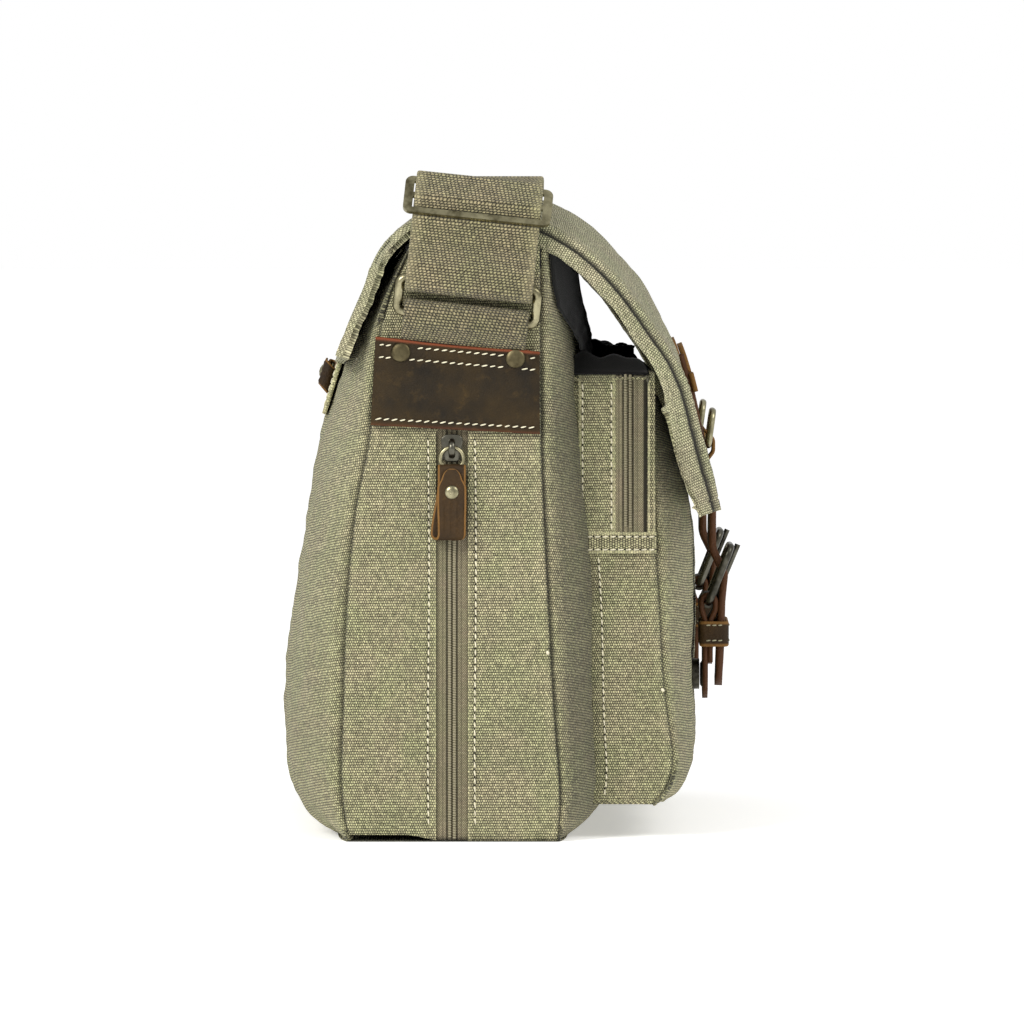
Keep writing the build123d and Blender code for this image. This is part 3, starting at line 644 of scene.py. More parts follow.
def gusset_half(side, front):
    """Half of a gusset, from its folded edge along the zip to its seam."""
    z = np.linspace(0.4, MOUTH_Z, 210)
    outline = end_edge(BODY_FRONT_END, BODY_FRONT_MID, z) if front else end_edge(BODY_BACK_END, BODY_BACK_MID, z)
    sign = -1 if front else 1
    fold = sign * (ZIP_HALF - 0.2) * (1 - between(158, 162, z))
    u = np.linspace(0, 1, 64)
    u = u - 0.1 * np.sin(2 * pi * u) / (2 * pi) * 4
    y = fold[None] * (1 - u[:, None]) + outline[None] * u[:, None]
    zz = np.broadcast_to(z[None], y.shape)
    to_seam, to_fold = np.abs(outline[None] - y), np.abs(y - fold[None])
    flat = np.stack([np.full_like(y, side * 40.0), y, zz], axis=-1)
    lower = 1 - between(150, 160, zz)
    out = waves(flat, 3 if front else 4, 46.0) * 0.9 * (0.25 + 0.75 * lower)
    out = out * between(0, 9, to_seam) * between(0, 6, to_fold)
    out += 0.5 * lower * bell(to_fold - 1.2, 1.1) - 0.45 * lower * bell(to_fold - 2.9, 0.55)
    out -= 1.3 * bell(to_seam, 0.42) + 1.2 * bell(zz, 2.0)
    out += 0.25 * bell(to_seam - 2.6, 1.4)
    out += 0.10 * waves(flat, 9, 3.0, 2) * lower
    zz = zz + 2.2 * between(4, 18, y) * (1 - between(0, 40, zz))
    p = np.stack([side * (HALF + out), y, zz], axis=-1)
    wear_and_shade = 0.5 * lower * bell(to_fold, 0.8) + 0.12 * bell(to_seam - 2.4, 0.8) - 0.6 * bell(to_seam, 0.35)
    uv = np.stack([y + 300 * side, zz], axis=-1)
    return thick_sheet("tmp", p, uv, PLY, wear_and_shade, flip=(side * sign < 0))


def joined(name, parts):
    """One piece from several."""
    bm = bmesh.new()
    for part in parts:
        bm.from_mesh(part.data)
        bpy.data.objects.remove(part)
    mesh = bpy.data.meshes.new(name)
    bm.to_mesh(mesh)
    bm.free()
    obj = bpy.data.objects.new(name, mesh)
    bpy.context.scene.collection.objects.link(obj)
    mesh_tidy(obj)
    return obj


for side, end in ((-1, "left"), (1, "right")):
    gusset = joined(f"gusset_skin_{end}", [gusset_half(side, False), gusset_half(side, True)])
    finish_piece(gusset, CANVAS, "bag", [f"gusset_{end}"])


# --- body: the full back and front, the base, the pocket's front --------------------------------
def ends_close(count):
    """Shares of the half length, closer together towards the ends."""
    return np.sin(np.linspace(-pi / 2, pi / 2, count))


def panel(end, mid, half, count, rows, seed, fold, bottom=3.0, outward=-1):
    """A swelling panel's grid of points with its seams, folds and cloth distances."""
    u, t = ends_close(count), np.linspace(0, 1, rows)
    p = outline_grid(end, mid, half, fullness, u, t)
    n = grid_normals(p)
    n = n if outward < 0 else -n
    x, z = p[..., 0], p[..., 2]
    to_end = half - np.abs(x)
    dent = 1.2 * bell(to_end, 0.4) + 1.2 * bell(z - z.min(), bottom)
    soft = waves(p * (1, 1, 0.7), seed, 70.0) * fold * between(0, 25, to_end)
    soft += waves(p * (0.6, 1, 1.2), seed + 1, 26.0) * fold * 0.35 * between(2, 14, to_end)
    soft += 0.10 * waves(p, seed + 2, 3.5, 2)
    p = p + n * (soft - dent + 0.2 * bell(to_end - 2.6, 1.2))[..., None]
    run = running_length(p)
    across = np.concatenate([np.zeros((1, rows)), np.cumsum(np.linalg.norm(np.diff(p, axis=0), axis=2), axis=0)])
    across = across - across[count // 2]
    wear_and_shade = 0.12 * bell(to_end - 2.2, 0.8) - 0.6 * bell(to_end, 0.35) + 0.3 * bell(z - z.min() - 4, 5)
    return p, np.stack([across, run], axis=-1), wear_and_shade, n


back_p, back_uv, back_wear, _ = panel(BODY_BACK_END, BODY_BACK_MID, HALF, 230, 150, 21, 1.5, outward=1)
back_skin = thick_sheet("back_skin", back_p, back_uv, PLY, back_wear, flip=True)
finish_piece(back_skin, CANVAS, "bag", ["back_panel"])
front_p, front_uv, front_wear_and_shade, _ = panel(BODY_FRONT_END, BODY_FRONT_MID, HALF, 220, 130, 31, 1.0)
# Painted shade: the front panel is darkened at both ends beside the pocket, fading out towards the top, for the shade
# that the pocket and flap cast there.
pocket_flap_shade = between(126, 146, np.abs(front_p[..., 0])) * (1 - between(150, 205, front_p[..., 2]))
front_wear_and_shade = front_wear_and_shade - 0.42 * pocket_flap_shade * between(0.3, 2.0, HALF - np.abs(front_p[..., 0]))
front_skin = thick_sheet("front_skin", front_p, front_uv, PLY, front_wear_and_shade)
finish_piece(front_skin, CANVAS, "bag", ["front_panel"])

u, s = ends_close(120), np.linspace(0, 1, 40)
front_foot = outline_grid(BODY_FRONT_END, BODY_FRONT_MID, HALF, fullness, u, np.array([0.0, 0.02]))[:, 0]
back_foot = outline_grid(BODY_BACK_END, BODY_BACK_MID, HALF, fullness, u, np.array([0.0, 0.02]))[:, 0]
base_p = front_foot[:, None] * (1 - s)[None, :, None] + back_foot[:, None] * s[None, :, None]
base_p[..., 1] *= 0.985
base_p[..., 2] = 0.35
to_rim = np.minimum(HALF - np.abs(base_p[..., 0]), 20)
# The base is painted darker within about 6 mm of its two ends.
base_rim_darkening = -0.9 * (1 - between(0.5, 6, to_rim))
base_skin = thick_sheet("base_skin", base_p, base_p[..., :2], 2.0, base_rim_darkening)
finish_piece(base_skin, CANVAS, "bag", ["base_panel"])

pocket_p, pocket_uv, pocket_wear, _ = panel(POCKET_END, POCKET_MID, POCKET_HALF, 200, 130, 41, 0.9)
pocket_skin = thick_sheet("pocket_skin", pocket_p, pocket_uv, PLY, pocket_wear)
finish_piece(pocket_skin, CANVAS, "bag", ["pocket_front"])


# --- the pocket's ends, top and underside ---------------------------------------------------
POCKET_ZIP_Y = HINGES["pocket_pull_ring_hinge"][1]
POCKET_TURN = 118.0


def body_front_at(x, z):
    """y of the bag's front panel at x and z."""
    share = fullness(np.array([x / HALF]))[0]
    t = np.linspace(0, 1, 200)
    at = knots(BODY_FRONT_MID)
    line = spline(BODY_FRONT_END, at, t) * (1 - share) + spline(BODY_FRONT_MID, at, t) * share
    return np.interp(z, line[:, 1], line[:, 0])


def pocket_end(side):
    z = np.linspace(13.5, POCKET_TOP, 170)
    outer = end_edge(POCKET_END, POCKET_MID, z)
    inner = body_front_at(POCKET_HALF, z) + 1.5 + 6.0 * between(60, 116, z)
    u = np.linspace(0, 1, 60)[:, None]
    y = inner[None] * (1 - u) + outer[None] * u
    zz = np.broadcast_to(z[None], y.shape)
    flat = np.stack([np.full_like(y, side * 20.0), y, zz], axis=-1)
    to_front, to_back = y - outer[None], inner[None] - y
    out = waves(flat, 51, 40.0) * 0.6 * between(0, 8, to_front)
    out -= 1.2 * bell(to_front, 0.45) + 1.2 * bell(to_back, 0.6) + 1.2 * bell(zz - 13.5, 2.0)
    out += 0.5 * bell(to_front - 3, 1.5)
    upper = between(POCKET_TURN - 1, POCKET_TURN + 1, zz)
    out -= 2.6 * bell(POCKET_TOP - zz, 3.2)
    out -= 0.6 * upper * (1 - between(ZIP_HALF, ZIP_HALF + 1, np.abs(y - POCKET_ZIP_Y)))
    p = np.stack([side * (POCKET_HALF + out), y, zz], axis=-1)
    wear_and_shade = 0.12 * bell(to_front - 2.2, 0.8) - 0.6 * bell(to_front, 0.35)
    uv = np.stack([y + 500 * side, zz], axis=-1)
    return thick_sheet("tmp", p, uv, 1.6, wear_and_shade, flip=(side > 0))


finish_piece(joined("pocket_end_skins", [pocket_end(-1), pocket_end(1)]), CANVAS, "bag", ["pocket_gussets"])

u = np.linspace(-1, 1, 120)
s = np.linspace(0, 1, 24)[None, :]
bands = []
for top in (False, True):
    z0 = POCKET_TOP if top else 13.0
    x = (u * (POCKET_HALF - 0.5))[:, None]
    inner = np.array([body_front_at(v, z0) for v in x[:, 0]])[:, None] + 1.0
    outer = (spline(POCKET_END, knots(POCKET_MID), 1.0 if top else 0.0)[0, 0] + (0.5 if top else 1.5))
    swell = 0.0 if top else -6.0
    y = inner * (1 - s) + (outer + swell * fullness(u)[:, None]) * s
    z = np.full_like(y, z0) + (0.2 * np.sin(x / 17) - 0.3 if top else -0.9 * fullness(u)[:, None] * s)
    p = np.stack([np.broadcast_to(x, y.shape), y, z], axis=-1)
    bands.append(thick_sheet("tmp", p, p[..., :2], 1.8, flip=top))
finish_piece(joined("pocket_band_skin", bands), CANVAS, "bag", ["pocket_band"])

# Folded canvas strips on each side of the pocket's zip, over the top and down both ends.
zip_path = rounded_path([(-POCKET_HALF - 0.6, POCKET_TURN - 1), (-POCKET_HALF - 0.6, POCKET_TOP + 0.6),
                         (POCKET_HALF + 0.6, POCKET_TOP + 0.6), (POCKET_HALF + 0.6, POCKET_TURN - 1)], [6.0, 6.0])
strips = []
for low, high in ((-78.6, -75.6), (-63.4, -48.6)):
    path = np.stack([zip_path[:, 0], np.full(len(zip_path), (low + high) / 2), zip_path[:, 1]], axis=1)
    strips.append(ribbon("tmp", path, (0, 1, 0), high - low, 1.6, relief=lambda y, s: 0.08 * np.sin(s / 2.1)))
finish_piece(joined("pocket_zip_facing", strips), CANVAS, "bag")
tape_path = np.stack([zip_path[:, 0], np.full(len(zip_path), POCKET_ZIP_Y), zip_path[:, 1]], axis=1)
bars = []
for side in (-1, 1):
    path = [(side * (POCKET_HALF + 0.9), y, POCKET_TURN - 3.6) for y in np.linspace(-47.6, -79.0, 18)]
    bars.append(ribbon("tmp", path, (0, 0, 1), 8.4, 1.5))
finish_piece(joined("pocket_end_bars", bars), CANVAS, "bag")


# Black sheets of painted shade: one over the top of the front panel up to the mouth, and puffs over the pocket's top.
u, t = np.linspace(-1, 1, 240), np.linspace(0.79, 0.998, 60)
reach = np.interp(t, [0.79, 0.82, 0.86, 0.90, 0.94, 1.0], [0.70, 0.80, 0.90, 0.968, 0.982, 0.99])
rows = [outline_grid(BODY_FRONT_END, BODY_FRONT_MID, HALF, fullness, u * r, np.array([v, v]))[:, 0]
        for r, v in zip(reach, t)]
mouth_shade_p = np.stack(rows, axis=1)
mouth_shade_n = grid_normals(mouth_shade_p)
lump = 2.0 + 1.5 * np.maximum(waves(mouth_shade_p * (1, 1, 1.4), 91, 24.0) + 0.5, 0) * (1 - between(0.85, 0.93, t))[None]
facing = thick_sheet("mouth_painted_shade", mouth_shade_p + mouth_shade_n * lump[..., None], mouth_shade_p[..., ::2], 0.8, edge=0)
finish_piece(facing, BLACK, "bag")

# Black puffs of painted shade over the pocket's top.
x = np.linspace(-POCKET_HALF + 1, POCKET_HALF - 1, 260)[:, None]
s = np.linspace(0, 1, 40)[None, :]
ends = between(112, 120, x) + between(132.5, 135.5, -x)
wide = 14.0 + 15.5 * ends
y = -46.5 - wide * s
rise = (5.0 + 5.5 * ends) * np.sin(pi * np.clip(0.12 + 0.88 * s, 0, 1)) ** 0.6
rise = rise * between(-0.2, 7, POCKET_HALF - 1 - np.abs(x))
spot = np.stack([x + 0 * y, y, 0 * y], axis=-1)
rise = rise * (0.85 + 0.22 * waves(spot * (0.6, 1.3, 1), 93, 22.0, 2))
puffs_p = spot + np.stack([0 * y, 0 * y, POCKET_TOP + 1.2 + rise], axis=-1)
puffs = thick_sheet("pocket_top_painted_shade", puffs_p, puffs_p[..., :2], 0.8, flip=True, edge=0)
finish_piece(puffs, BLACK, "bag")

# --- zips ---------------------------------------------------------------------------------
class Place:
    """A flat working frame: a along the travel, b across it and c out of the surface."""

    def __init__(self, origin, along, across, out):
        self.o, self.a, self.b, self.c = (np.array(v, float) for v in (origin, along, across, out))

    def __call__(self, a, b, c):
        return self.o + self.a * a + self.b * b + self.c * c


BACK_LEAN = radians(17)
ZIPS = {
    "side_left": Place((-163, 0, 0), (0, 0, 1), (0, 1, 0), (-1, 0, 0)),
    "side_right": Place((163, 0, 0), (0, 0, 1), (0, 1, 0), (1, 0, 0)),
    "pocket": Place((0, POCKET_ZIP_Y, POCKET_TOP), (1, 0, 0), (0, 1, 0), (0, 0, 1)),
    "back": Place((0, 46.3, 175), (1, 0, 0), (0, sin(BACK_LEAN), -cos(BACK_LEAN)),
                  (0, cos(BACK_LEAN), sin(BACK_LEAN))),
}


def coil_rows(place, low, high, pitch=0.95):
    rows = []
    for k, a in enumerate(np.arange(low, high, pitch / 2)):
        b = 0.9 if k % 2 else -0.9
        rows.append((place(a, b, 1.1), place.b + place.a * 0.15, place.c, 1.35))
    return rows


side_rows = coil_rows(ZIPS["side_left"], 1.5, 157) + coil_rows(ZIPS["side_right"], 1.5, 157)
capsules("side_teeth", side_rows, 0.42, COIL, "bag", squash=1.4)
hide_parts("side_zip_coils")
capsules("back_teeth", coil_rows(ZIPS["back"], -101, 101), 0.42, COIL, "bag", squash=1.4)
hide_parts("back_zip_coil")
rows = []
tooth_path = tape_path[(tape_path[:, 2] > POCKET_TURN + 2)]
length = np.concatenate([[0], np.cumsum(np.linalg.norm(np.diff(tooth_path, axis=0), axis=1))])
for k, s in enumerate(np.arange(0.6, length[-1], 0.475)):
    at = np.array([np.interp(s, length, tooth_path[:, i]) for i in range(3)])
    near = np.array([np.interp(s + 0.5, length, tooth_path[:, i]) for i in range(3)])
    along = (near - at) / (np.linalg.norm(near - at) + 1e-9)
    out = np.cross(along, (0, 1, 0)) * -1
    if out @ (at - np.array([0, POCKET_ZIP_Y, 100])) < 0:
        out = -out
    rows.append((at + np.array([0, 0.9 if k % 2 else -0.9, 0]) + out * 0.9, np.array([0, 1.0, 0]), out, 1.35))
capsules("pocket_teeth", rows[:-1], 0.42, COIL, "bag", squash=1.4)
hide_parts("pocket_zip_coil")


def tape_ribs(y, s):
    """The raised cords of a zip tape, beside its coil."""
    return 0.3 * bell(np.abs(y) - 2.6, 0.4) - 0.2 * bell(np.abs(y) - 1.9, 0.3) + 0.04 * np.sin(s / 3.7)


def tape_shade_lines(y):
    """Painted shade along a zip tape: dark lines in the grooves between its two coils and beside them, and the shadow
    under the cloth's fold.
    """
    y = np.abs(y)
    return -1.0 * bell(y, 0.22) - 1.0 * bell(y - 1.9, 0.28) - 0.5 * bell(y - 3.6, 0.25) - 1.0 * between(5.5, 6.3, y)


tapes = []
for side, name in ((-1, "side_left"), (1, "side_right")):
    path = [ZIPS[name](a, 0, 0.15) for a in np.linspace(0.6, 161, 60)]
    tapes.append(ribbon("tmp", path, (0, 1, 0), 16.0, 0.6, relief=tape_ribs, fine=110, lines=tape_shade_lines))
finish_piece(joined("side_tapes", tapes), TAPE_CLOTH, "bag", ["side_zip_tapes"])
pocket_tape = ribbon("pocket_tape", tape_path, (0, 1, 0), 14.6, 0.6, relief=tape_ribs, fine=100, lines=tape_shade_lines)
finish_piece(pocket_tape, TAPE_CLOTH, "bag", ["pocket_zip_tape"])

back_place = ZIPS["back"]
path = [back_place(a, 0, 0.3) for a in np.linspace(-106, 106, 90)]
finish_piece(ribbon("back_tape", path, back_place.b, 12.6, 0.6), TAPE_CLOTH, "bag", ["back_zip_tape"])
welts, rows = [], []
for b in (-8.6, 8.6):
    path = [back_place(a, b, 0.4) for a in np.linspace(-112, 112, 90)]
    welts.append(ribbon("tmp", path, back_place.b, 7.0, 1.8))
    rows += stitch_places([q + back_place.c * 0.9 for q in path], [back_place.c] * len(path), 3.0, sink=0.1)
for a in (-109, 109):
    path = [back_place(a, b, 0.4) for b in np.linspace(-12, 12, 20)]
    welts.append(ribbon("tmp", path, back_place.a, 6.5, 1.8))
    rows += stitch_places([q + back_place.c * 0.9 for q in path], [back_place.c] * len(path), 3.0)
finish_piece(joined("back_zip_facing", welts), CANVAS, "bag")
capsules("back_zip_stitches", rows, 0.36, THREAD, "bag")


def pull(name, place, a0):
    """Slider, ring, leather pull and its rivet at a0 along a zip, the pull lying towards -a."""
    def at(a, b, c):
        return place(a0 + a, b, c)

    top = 2.35
    outline = [(-5.2, 1.9), (-4.6, 2.9), (-1.0, 3.4), (2.6, 4.3), (4.2, 4.1), (5.2, 2.7), (5.5, 0.9)]
    outline = outline + [(a, -b) for a, b in reversed(outline)]
    plate = slab("tmp", outline, 1.25, lambda a, b, c: at(a, b, top + c), 0.45)
    under = slab("tmp", outline, 1.0, lambda a, b, c: at(a, b * 0.95, -0.1 + c * 0.3), 0.1)
    arch = [at(3.1 * cos(w), 0, top + 0.7 + 4.6 * sin(w) ** 0.75) for w in np.linspace(0.02, pi - 0.02, 26)]
    crown = tube("tmp", arch, 0.85, flat=1.5)
    flanges = [slab("tmp", [(-4.4, b - 0.45), (3.6, b - 0.45), (4.2, b + 0.45), (-4.4, b + 0.45)], 1.9,
                    lambda a, b, c: at(a, b, 0.5 + c), 0.2) for b in (-3.6, 3.6)]
    end = name.removeprefix("side_") if name.startswith("side_") else None

    def stem(part):
        return f"side_{part}_{end}" if end else f"{name}_{part}"

    slider = joined(f"{name}_slider_body", [plate, under, crown] + flanges)
    finish_piece(slider, GUNMETAL, stem("slider"))
    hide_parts(stem("slider"))
    centre = -3.85
    circle = [at(centre + 4.25 * cos(w), 4.45 * sin(w), 5.7) for w in np.linspace(0, 2 * pi, 60, endpoint=False)]
    ring = tube(f"{name}_ring_wire", circle, 0.78, closed=True)
    finish_piece(ring, BRASS, stem("pull_ring"), [stem("pull_ring")])
    # One strip: down from its rounded end in front, folded up behind, and over the ring.
    hook, thick, long = centre - 4.25, 1.25, 26.6
    near, mid, far = 4.2, 7.2, 8.5
    tab_line = rounded_path([(hook + 0.4, far), (hook - long, far), (hook - long, near), (hook + 1.5, near),
                             (hook + 1.5, mid), (hook - 9, mid)], [2.1, 2.1, 1.48, 1.48], 0.3)
    length = np.concatenate([[0], np.cumsum(np.linalg.norm(np.diff(tab_line, axis=0), axis=1))])
    even = np.concatenate([np.linspace(0, 6, 40)[:-1], np.arange(6, length[-1], 0.3)])
    tab_line = np.stack([np.interp(even, length, tab_line[:, k]) for k in (0, 1)], axis=1)
    length = even
    tab_path = [at(a, 2.8 * (far - c) / (far - near) * between(12, 34, -a), c) for a, c in tab_line]
    ring_s = length[np.argmax(tab_line[:, 0] * (length > long))]

    def widths(s, total):
        round_end = np.sqrt(np.clip(1 - np.clip(1 - (s + 0.15) / 5.4, 0, 1) ** 2, 0.03, 1))
        neck = 0.72 + 0.28 * between(3.5, 7.5, np.abs(s - ring_s))
        return round_end * neck * (1 - 0.04 * between(12, 24, s))

    def grooves(y, s):
        on = between(11.0, 14.0, s) * (1 - between(24.5, 26.5, s))
        pressed = on * (np.cos(y / 11.2 * 2 * pi * 4.5) * 0.5 + 0.5) ** 2 * (np.abs(y) < 4.8)
        return -0.35 * pressed - 0.25 * bell(np.abs(y) - 4.9, 0.35)

    tab = ribbon(f"{name}_pull_leather", tab_path, place.b, 11.2, thick, profile=widths, relief=grooves, fine=47)
    finish_piece(tab, TAN, stem("pull_tab"), [stem("pull_tab")])
    cap = [(0.1, 0.9), (1.2, 0.85), (2.1, 0.6), (2.6, 0.2), (2.75, -0.1), (0.1, -0.1)]
    head = lathe("tmp", cap, at(hook - 8.6, 0, far + 0.6), place.c, 28)
    rim = [(0.1, 0.0), (0.85, 0.0), (1.05, 0.12), (0.9, 0.2), (0.1, 0.15)]
    eye = lathe("tmp", rim, at(hook - 8.6, 0, far + 1.42), place.c, 20)
    back = lathe("tmp", [(0.1, 0.5), (2.6, 0.4), (2.8, 0.0), (0.1, 0.0)], at(hook - 8.6, 0, near - 0.6), -place.c, 28)
    finish_piece(joined(f"{name}_pull_rivet", [head, eye, back]), BRASS, stem("pull_tab"))


pull("side_left", ZIPS["side_left"], HINGES["side_pull_ring_left_hinge"][2])
pull("side_right", ZIPS["side_right"], HINGES["side_pull_ring_right_hinge"][2])
pull("pocket", ZIPS["pocket"], HINGES["pocket_pull_ring_hinge"][0])
pull("back", ZIPS["back"], HINGES["back_pull_ring_hinge"][0])


# --- stitches along the side zips and on the pocket ---------------------------------------------
rows = []
for side in (-1, 1):
    for y in (-9.0, 9.0):
        z = np.linspace(6, 157, 60)
        path = np.stack([np.full(60, side * (HALF - 0.05)), np.full(60, y) + 0.25 * np.sin(z / 23), z], axis=1)
        rows += stitch_places(path, [(side, 0, 0)] * 60, 3.1)
capsules("side_zip_stitches", rows, 0.33, THREAD, "bag")
needle_hole_shade("side_zip_holes", rows, "bag")
rows = []
for side in (-1, 1):
    out = [(side, 0, 0)] * 40
    for y in (-50.4, -61.6):
        z = np.linspace(119, 177, 40)
        line = np.stack([np.full(40, side * (POCKET_HALF + 1.35)), np.full(40, y), z], axis=1)
        rows += stitch_places(line, out, 3.0)
    for z0 in (POCKET_TURN - 1.2, POCKET_TURN - 6.2):
        y = np.linspace(-48.4, -78.5, 40)
        line = np.stack([np.full(40, side * (POCKET_HALF + 1.6)), y, np.full(40, z0)], axis=1)
        rows += stitch_places(line, out, 3.0)
    z = np.linspace(16, 111, 40)
    y = body_front_at(POCKET_HALF, z) - 4.0
    rows += stitch_places(np.stack([np.full(40, side * (POCKET_HALF + 0.1)), y, z], axis=1), out, 3.0)
capsules("pocket_stitches", rows, 0.33, THREAD, "bag")
needle_hole_shade("pocket_holes", rows, "bag")
knots_at = [((-HALF - 0.6, -36.8, 72.8), (0, 0.4, 1)), ((-POCKET_HALF - 0.8, -81.4, 57.4), (0, 1, 0.7))]
knots_at = [(np.array(q), np.array(d, float), np.array([-1.0, 0, 0]), 1.7) for q, d in knots_at]
capsules("thread_knots", knots_at, 0.62, THREAD, "bag")


# --- leather patches, their rivets and the webbing tabs below the strap rings --------------------
_, PATCH_FRONT, PATCH_LOW = lowest("leather_patch_left")
_, PATCH_BACK, PATCH_HIGH = highest("leather_patch_left")
PATCH_CORNERS = [(PATCH_BACK, 160.5), (PATCH_FRONT, PATCH_LOW), (29.3, PATCH_HIGH), (PATCH_FRONT, 188.7)]
RIVETS = [(19.6, 188.6), (-24.4, 186.2)]


def patch_point(s, t):
    """(y, z) at shares s from back to front and t from bottom to top."""
    a, b, c, d = (np.array(q, float) for q in PATCH_CORNERS)
    s, t = np.asarray(s)[..., None], np.asarray(t)[..., None]
    return (a * (1 - s) + b * s) * (1 - t) + (c * (1 - s) + d * s) * t


def patch_rise(y, z):
    """How far the leather's face stands off the gusset, over the webbing beneath it."""
    mid = between(-34.5, -29.5, y) * (1 - between(22.5, 29.0, y))
    rise = 2.5 + 0.9 * mid * between(163, 172, z) + 2.4 * mid * between(178, 190, z)
    for ry, rz in RIVETS:
        rise = rise + (5.3 - rise) * bell(np.hypot(y - ry, z - rz), 4.5)
    return rise


def patch(side, name):
    s, t = np.meshgrid(np.linspace(0, 1, 110), np.linspace(0, 1, 60), indexing="ij")
    yz = patch_point(s, t)
    y, z = yz[..., 0], yz[..., 1]
    flat = np.stack([np.full_like(y, 10.0 * side), y, z], axis=-1)
    rise = patch_rise(y, z) + 0.22 * waves(flat, 61, 22.0)
    top = between(0.93, 1.0, t)
    rise += top * 0.5
    for row in (0.915, 0.775, 0.075):
        rise -= 0.28 * bell((t - row) * 33, 0.7)
    p = np.stack([side * (HALF + rise), y, z - 0.8 * bell((s - 0.5), 0.4) * top], axis=-1)
    wear_and_shade = np.maximum(between(0.955, 0.99, t) * 0.9, 0.25 * bell(t * 33, 0.8))
    obj = thick_sheet(name, p, np.stack([y, z], axis=-1), 1.9, wear_and_shade, flip=(side > 0), edge=0.3)
    return obj


for side, end in ((-1, "left"), (1, "right")):
    finish_piece(patch(side, f"patch_leather_{end}"), PATCH, "bag", [f"leather_patch_{end}"])
    rows = []
    for t in (0.915, 0.775, 0.075):
        s = np.linspace(0.015, 0.985, 80)
        yz = patch_point(s, np.full(80, t))
        path = np.stack([side * (HALF + patch_rise(yz[:, 0], yz[:, 1]) + 0.2), yz[:, 0], yz[:, 1]], axis=1)
        for place in stitch_places(path, [(side, 0, 0)] * 80, 3.1, slant=0.3):
            if min(np.hypot(place[0][1] - ry, place[0][2] - rz) for ry, rz in RIVETS) > 4.9:
                rows.append(place)
    capsules(f"patch_stitches_{end}", rows, 0.3, THREAD, "bag")
    caps = []
    dome = [(0.1, 0.95), (1.6, 1.0), (2.9, 0.85), (3.6, 0.5), (3.8, 0.1), (3.8, -0.9), (0.1, -0.9)]
    for y, z in RIVETS:
        caps.append(lathe("tmp", dome, (side * (HALF + 5.35), y, z), (side, 0, 0.05), 36))
    finish_piece(joined(f"patch_rivet_caps_{end}", caps), RIVET, "bag", [f"patch_rivets_{end}"])

ACROSS_END = np.array([0, cos(STRAP_LEAN), sin(STRAP_LEAN)])
WRAP = WIRE + 0.3 + WEBBING / 2


def end_path(side, points):
    """Points (out, up) in an end's own leaning frame, in the bag's."""
    points = np.asarray(points, float)
    x = side * (HALF + points[:, 0])
    return np.stack([x, BAR_Y - points[:, 1] * sin(STRAP_LEAN), BAR_Z + points[:, 1] * cos(STRAP_LEAN)], axis=1)


LOOSE = 4.3                  # radius of the real webbing's slack folds
tab_line = rounded_path([(1.1, -19), (1.1, -12), (BAR_OUT - WRAP, -4), (BAR_OUT - WRAP, LOOSE),
                         (BAR_OUT + LOOSE, LOOSE),
                         (BAR_OUT + LOOSE, -3.5), (2.2, -12.5), (2.2, -19)], [4, 4, WRAP - 0.02, LOOSE - 0.4, 5, 4])
# The webbing tabs are painted a little darker all over.
for side, end in ((-1, "left"), (1, "right")):
    tab = ribbon(f"ring_webbing_{end}", end_path(side, tab_line), ACROSS_END, WEBBING_WIDE - 1, WEBBING,
                 lines=lambda y: 0 * y - 0.13)
    finish_piece(tab, WEB, "bag", [f"ring_tab_{end}"])

# --- shoulder strap, one length of webbing from ring to ring ------------------------------------
SLIDER_AT, SLIDER_LEAN, WEAVE = (3.6, 44.8), radians(35), 1.9
STRAP_IN, STRAP_OVER = -12.0, 53.5


def on_slider(a, b):
    return (SLIDER_AT[0] - a * sin(SLIDER_LEAN) + b * cos(SLIDER_LEAN),
            SLIDER_AT[1] + a * cos(SLIDER_LEAN) + b * sin(SLIDER_LEAN))


bend = on_slider(-9.0, -WEAVE)
out, up = 6.5, RING_TALL
leg = [(bend[0] - 2.0, 33.0), (bend[0] - 2.0, 27.0), (out - WRAP, up + 3), (out - WRAP, up - LOOSE),
       (out + LOOSE, up - LOOSE),
       (out + LOOSE, up + 5), (bend[0], 27.0)]
leg_turns = [8, 5, WRAP - 0.02, LOOSE - 0.4, 5, 8]
climb = (STRAP_OVER - SLIDER_AT[1] - WEAVE * sin(SLIDER_LEAN)) / cos(SLIDER_LEAN)
weave = [bend, on_slider(-5.4, -WEAVE), on_slider(-1.6, WEAVE), on_slider(climb, WEAVE), (STRAP_IN, STRAP_OVER)]
left = rounded_path(leg + weave, leg_turns + [3.0, 0.95, 0.95, 2.5])
right = rounded_path(leg + [(bend[0], 44.0), (1.5, STRAP_OVER), (STRAP_IN, STRAP_OVER)], leg_turns + [9, 9])
level = BAR_Z + STRAP_OVER * cos(STRAP_LEAN)
low, pitch, reach = 250.6, 2.4, 120.0
edge = HALF + STRAP_IN
over = rounded_path([(-edge, level), (-edge + 14, level), (-edge + 28, low), (reach, low),
                     (reach, low + pitch), (-reach, low + pitch), (-reach, low + 2 * pitch),
                     (edge - 26, low + 2 * pitch), (edge - 12, level), (edge, level)],
                    [12, 12] + [pitch / 2 - 0.02] * 4 + [12, 12])
over_y = BAR_Y - STRAP_OVER * sin(STRAP_LEAN)
over = np.stack([over[:, 0], np.full(len(over), over_y), over[:, 1]], axis=1)
line = np.concatenate([end_path(-1, left), over[1:-1], end_path(1, right)[::-1]])
turn = between(140, edge, np.abs(line[:, 0]))[:, None]
across = ACROSS_END * turn + np.array([0, 1.0, 0]) * (1 - turn)
across /= np.linalg.norm(across, axis=1, keepdims=True)
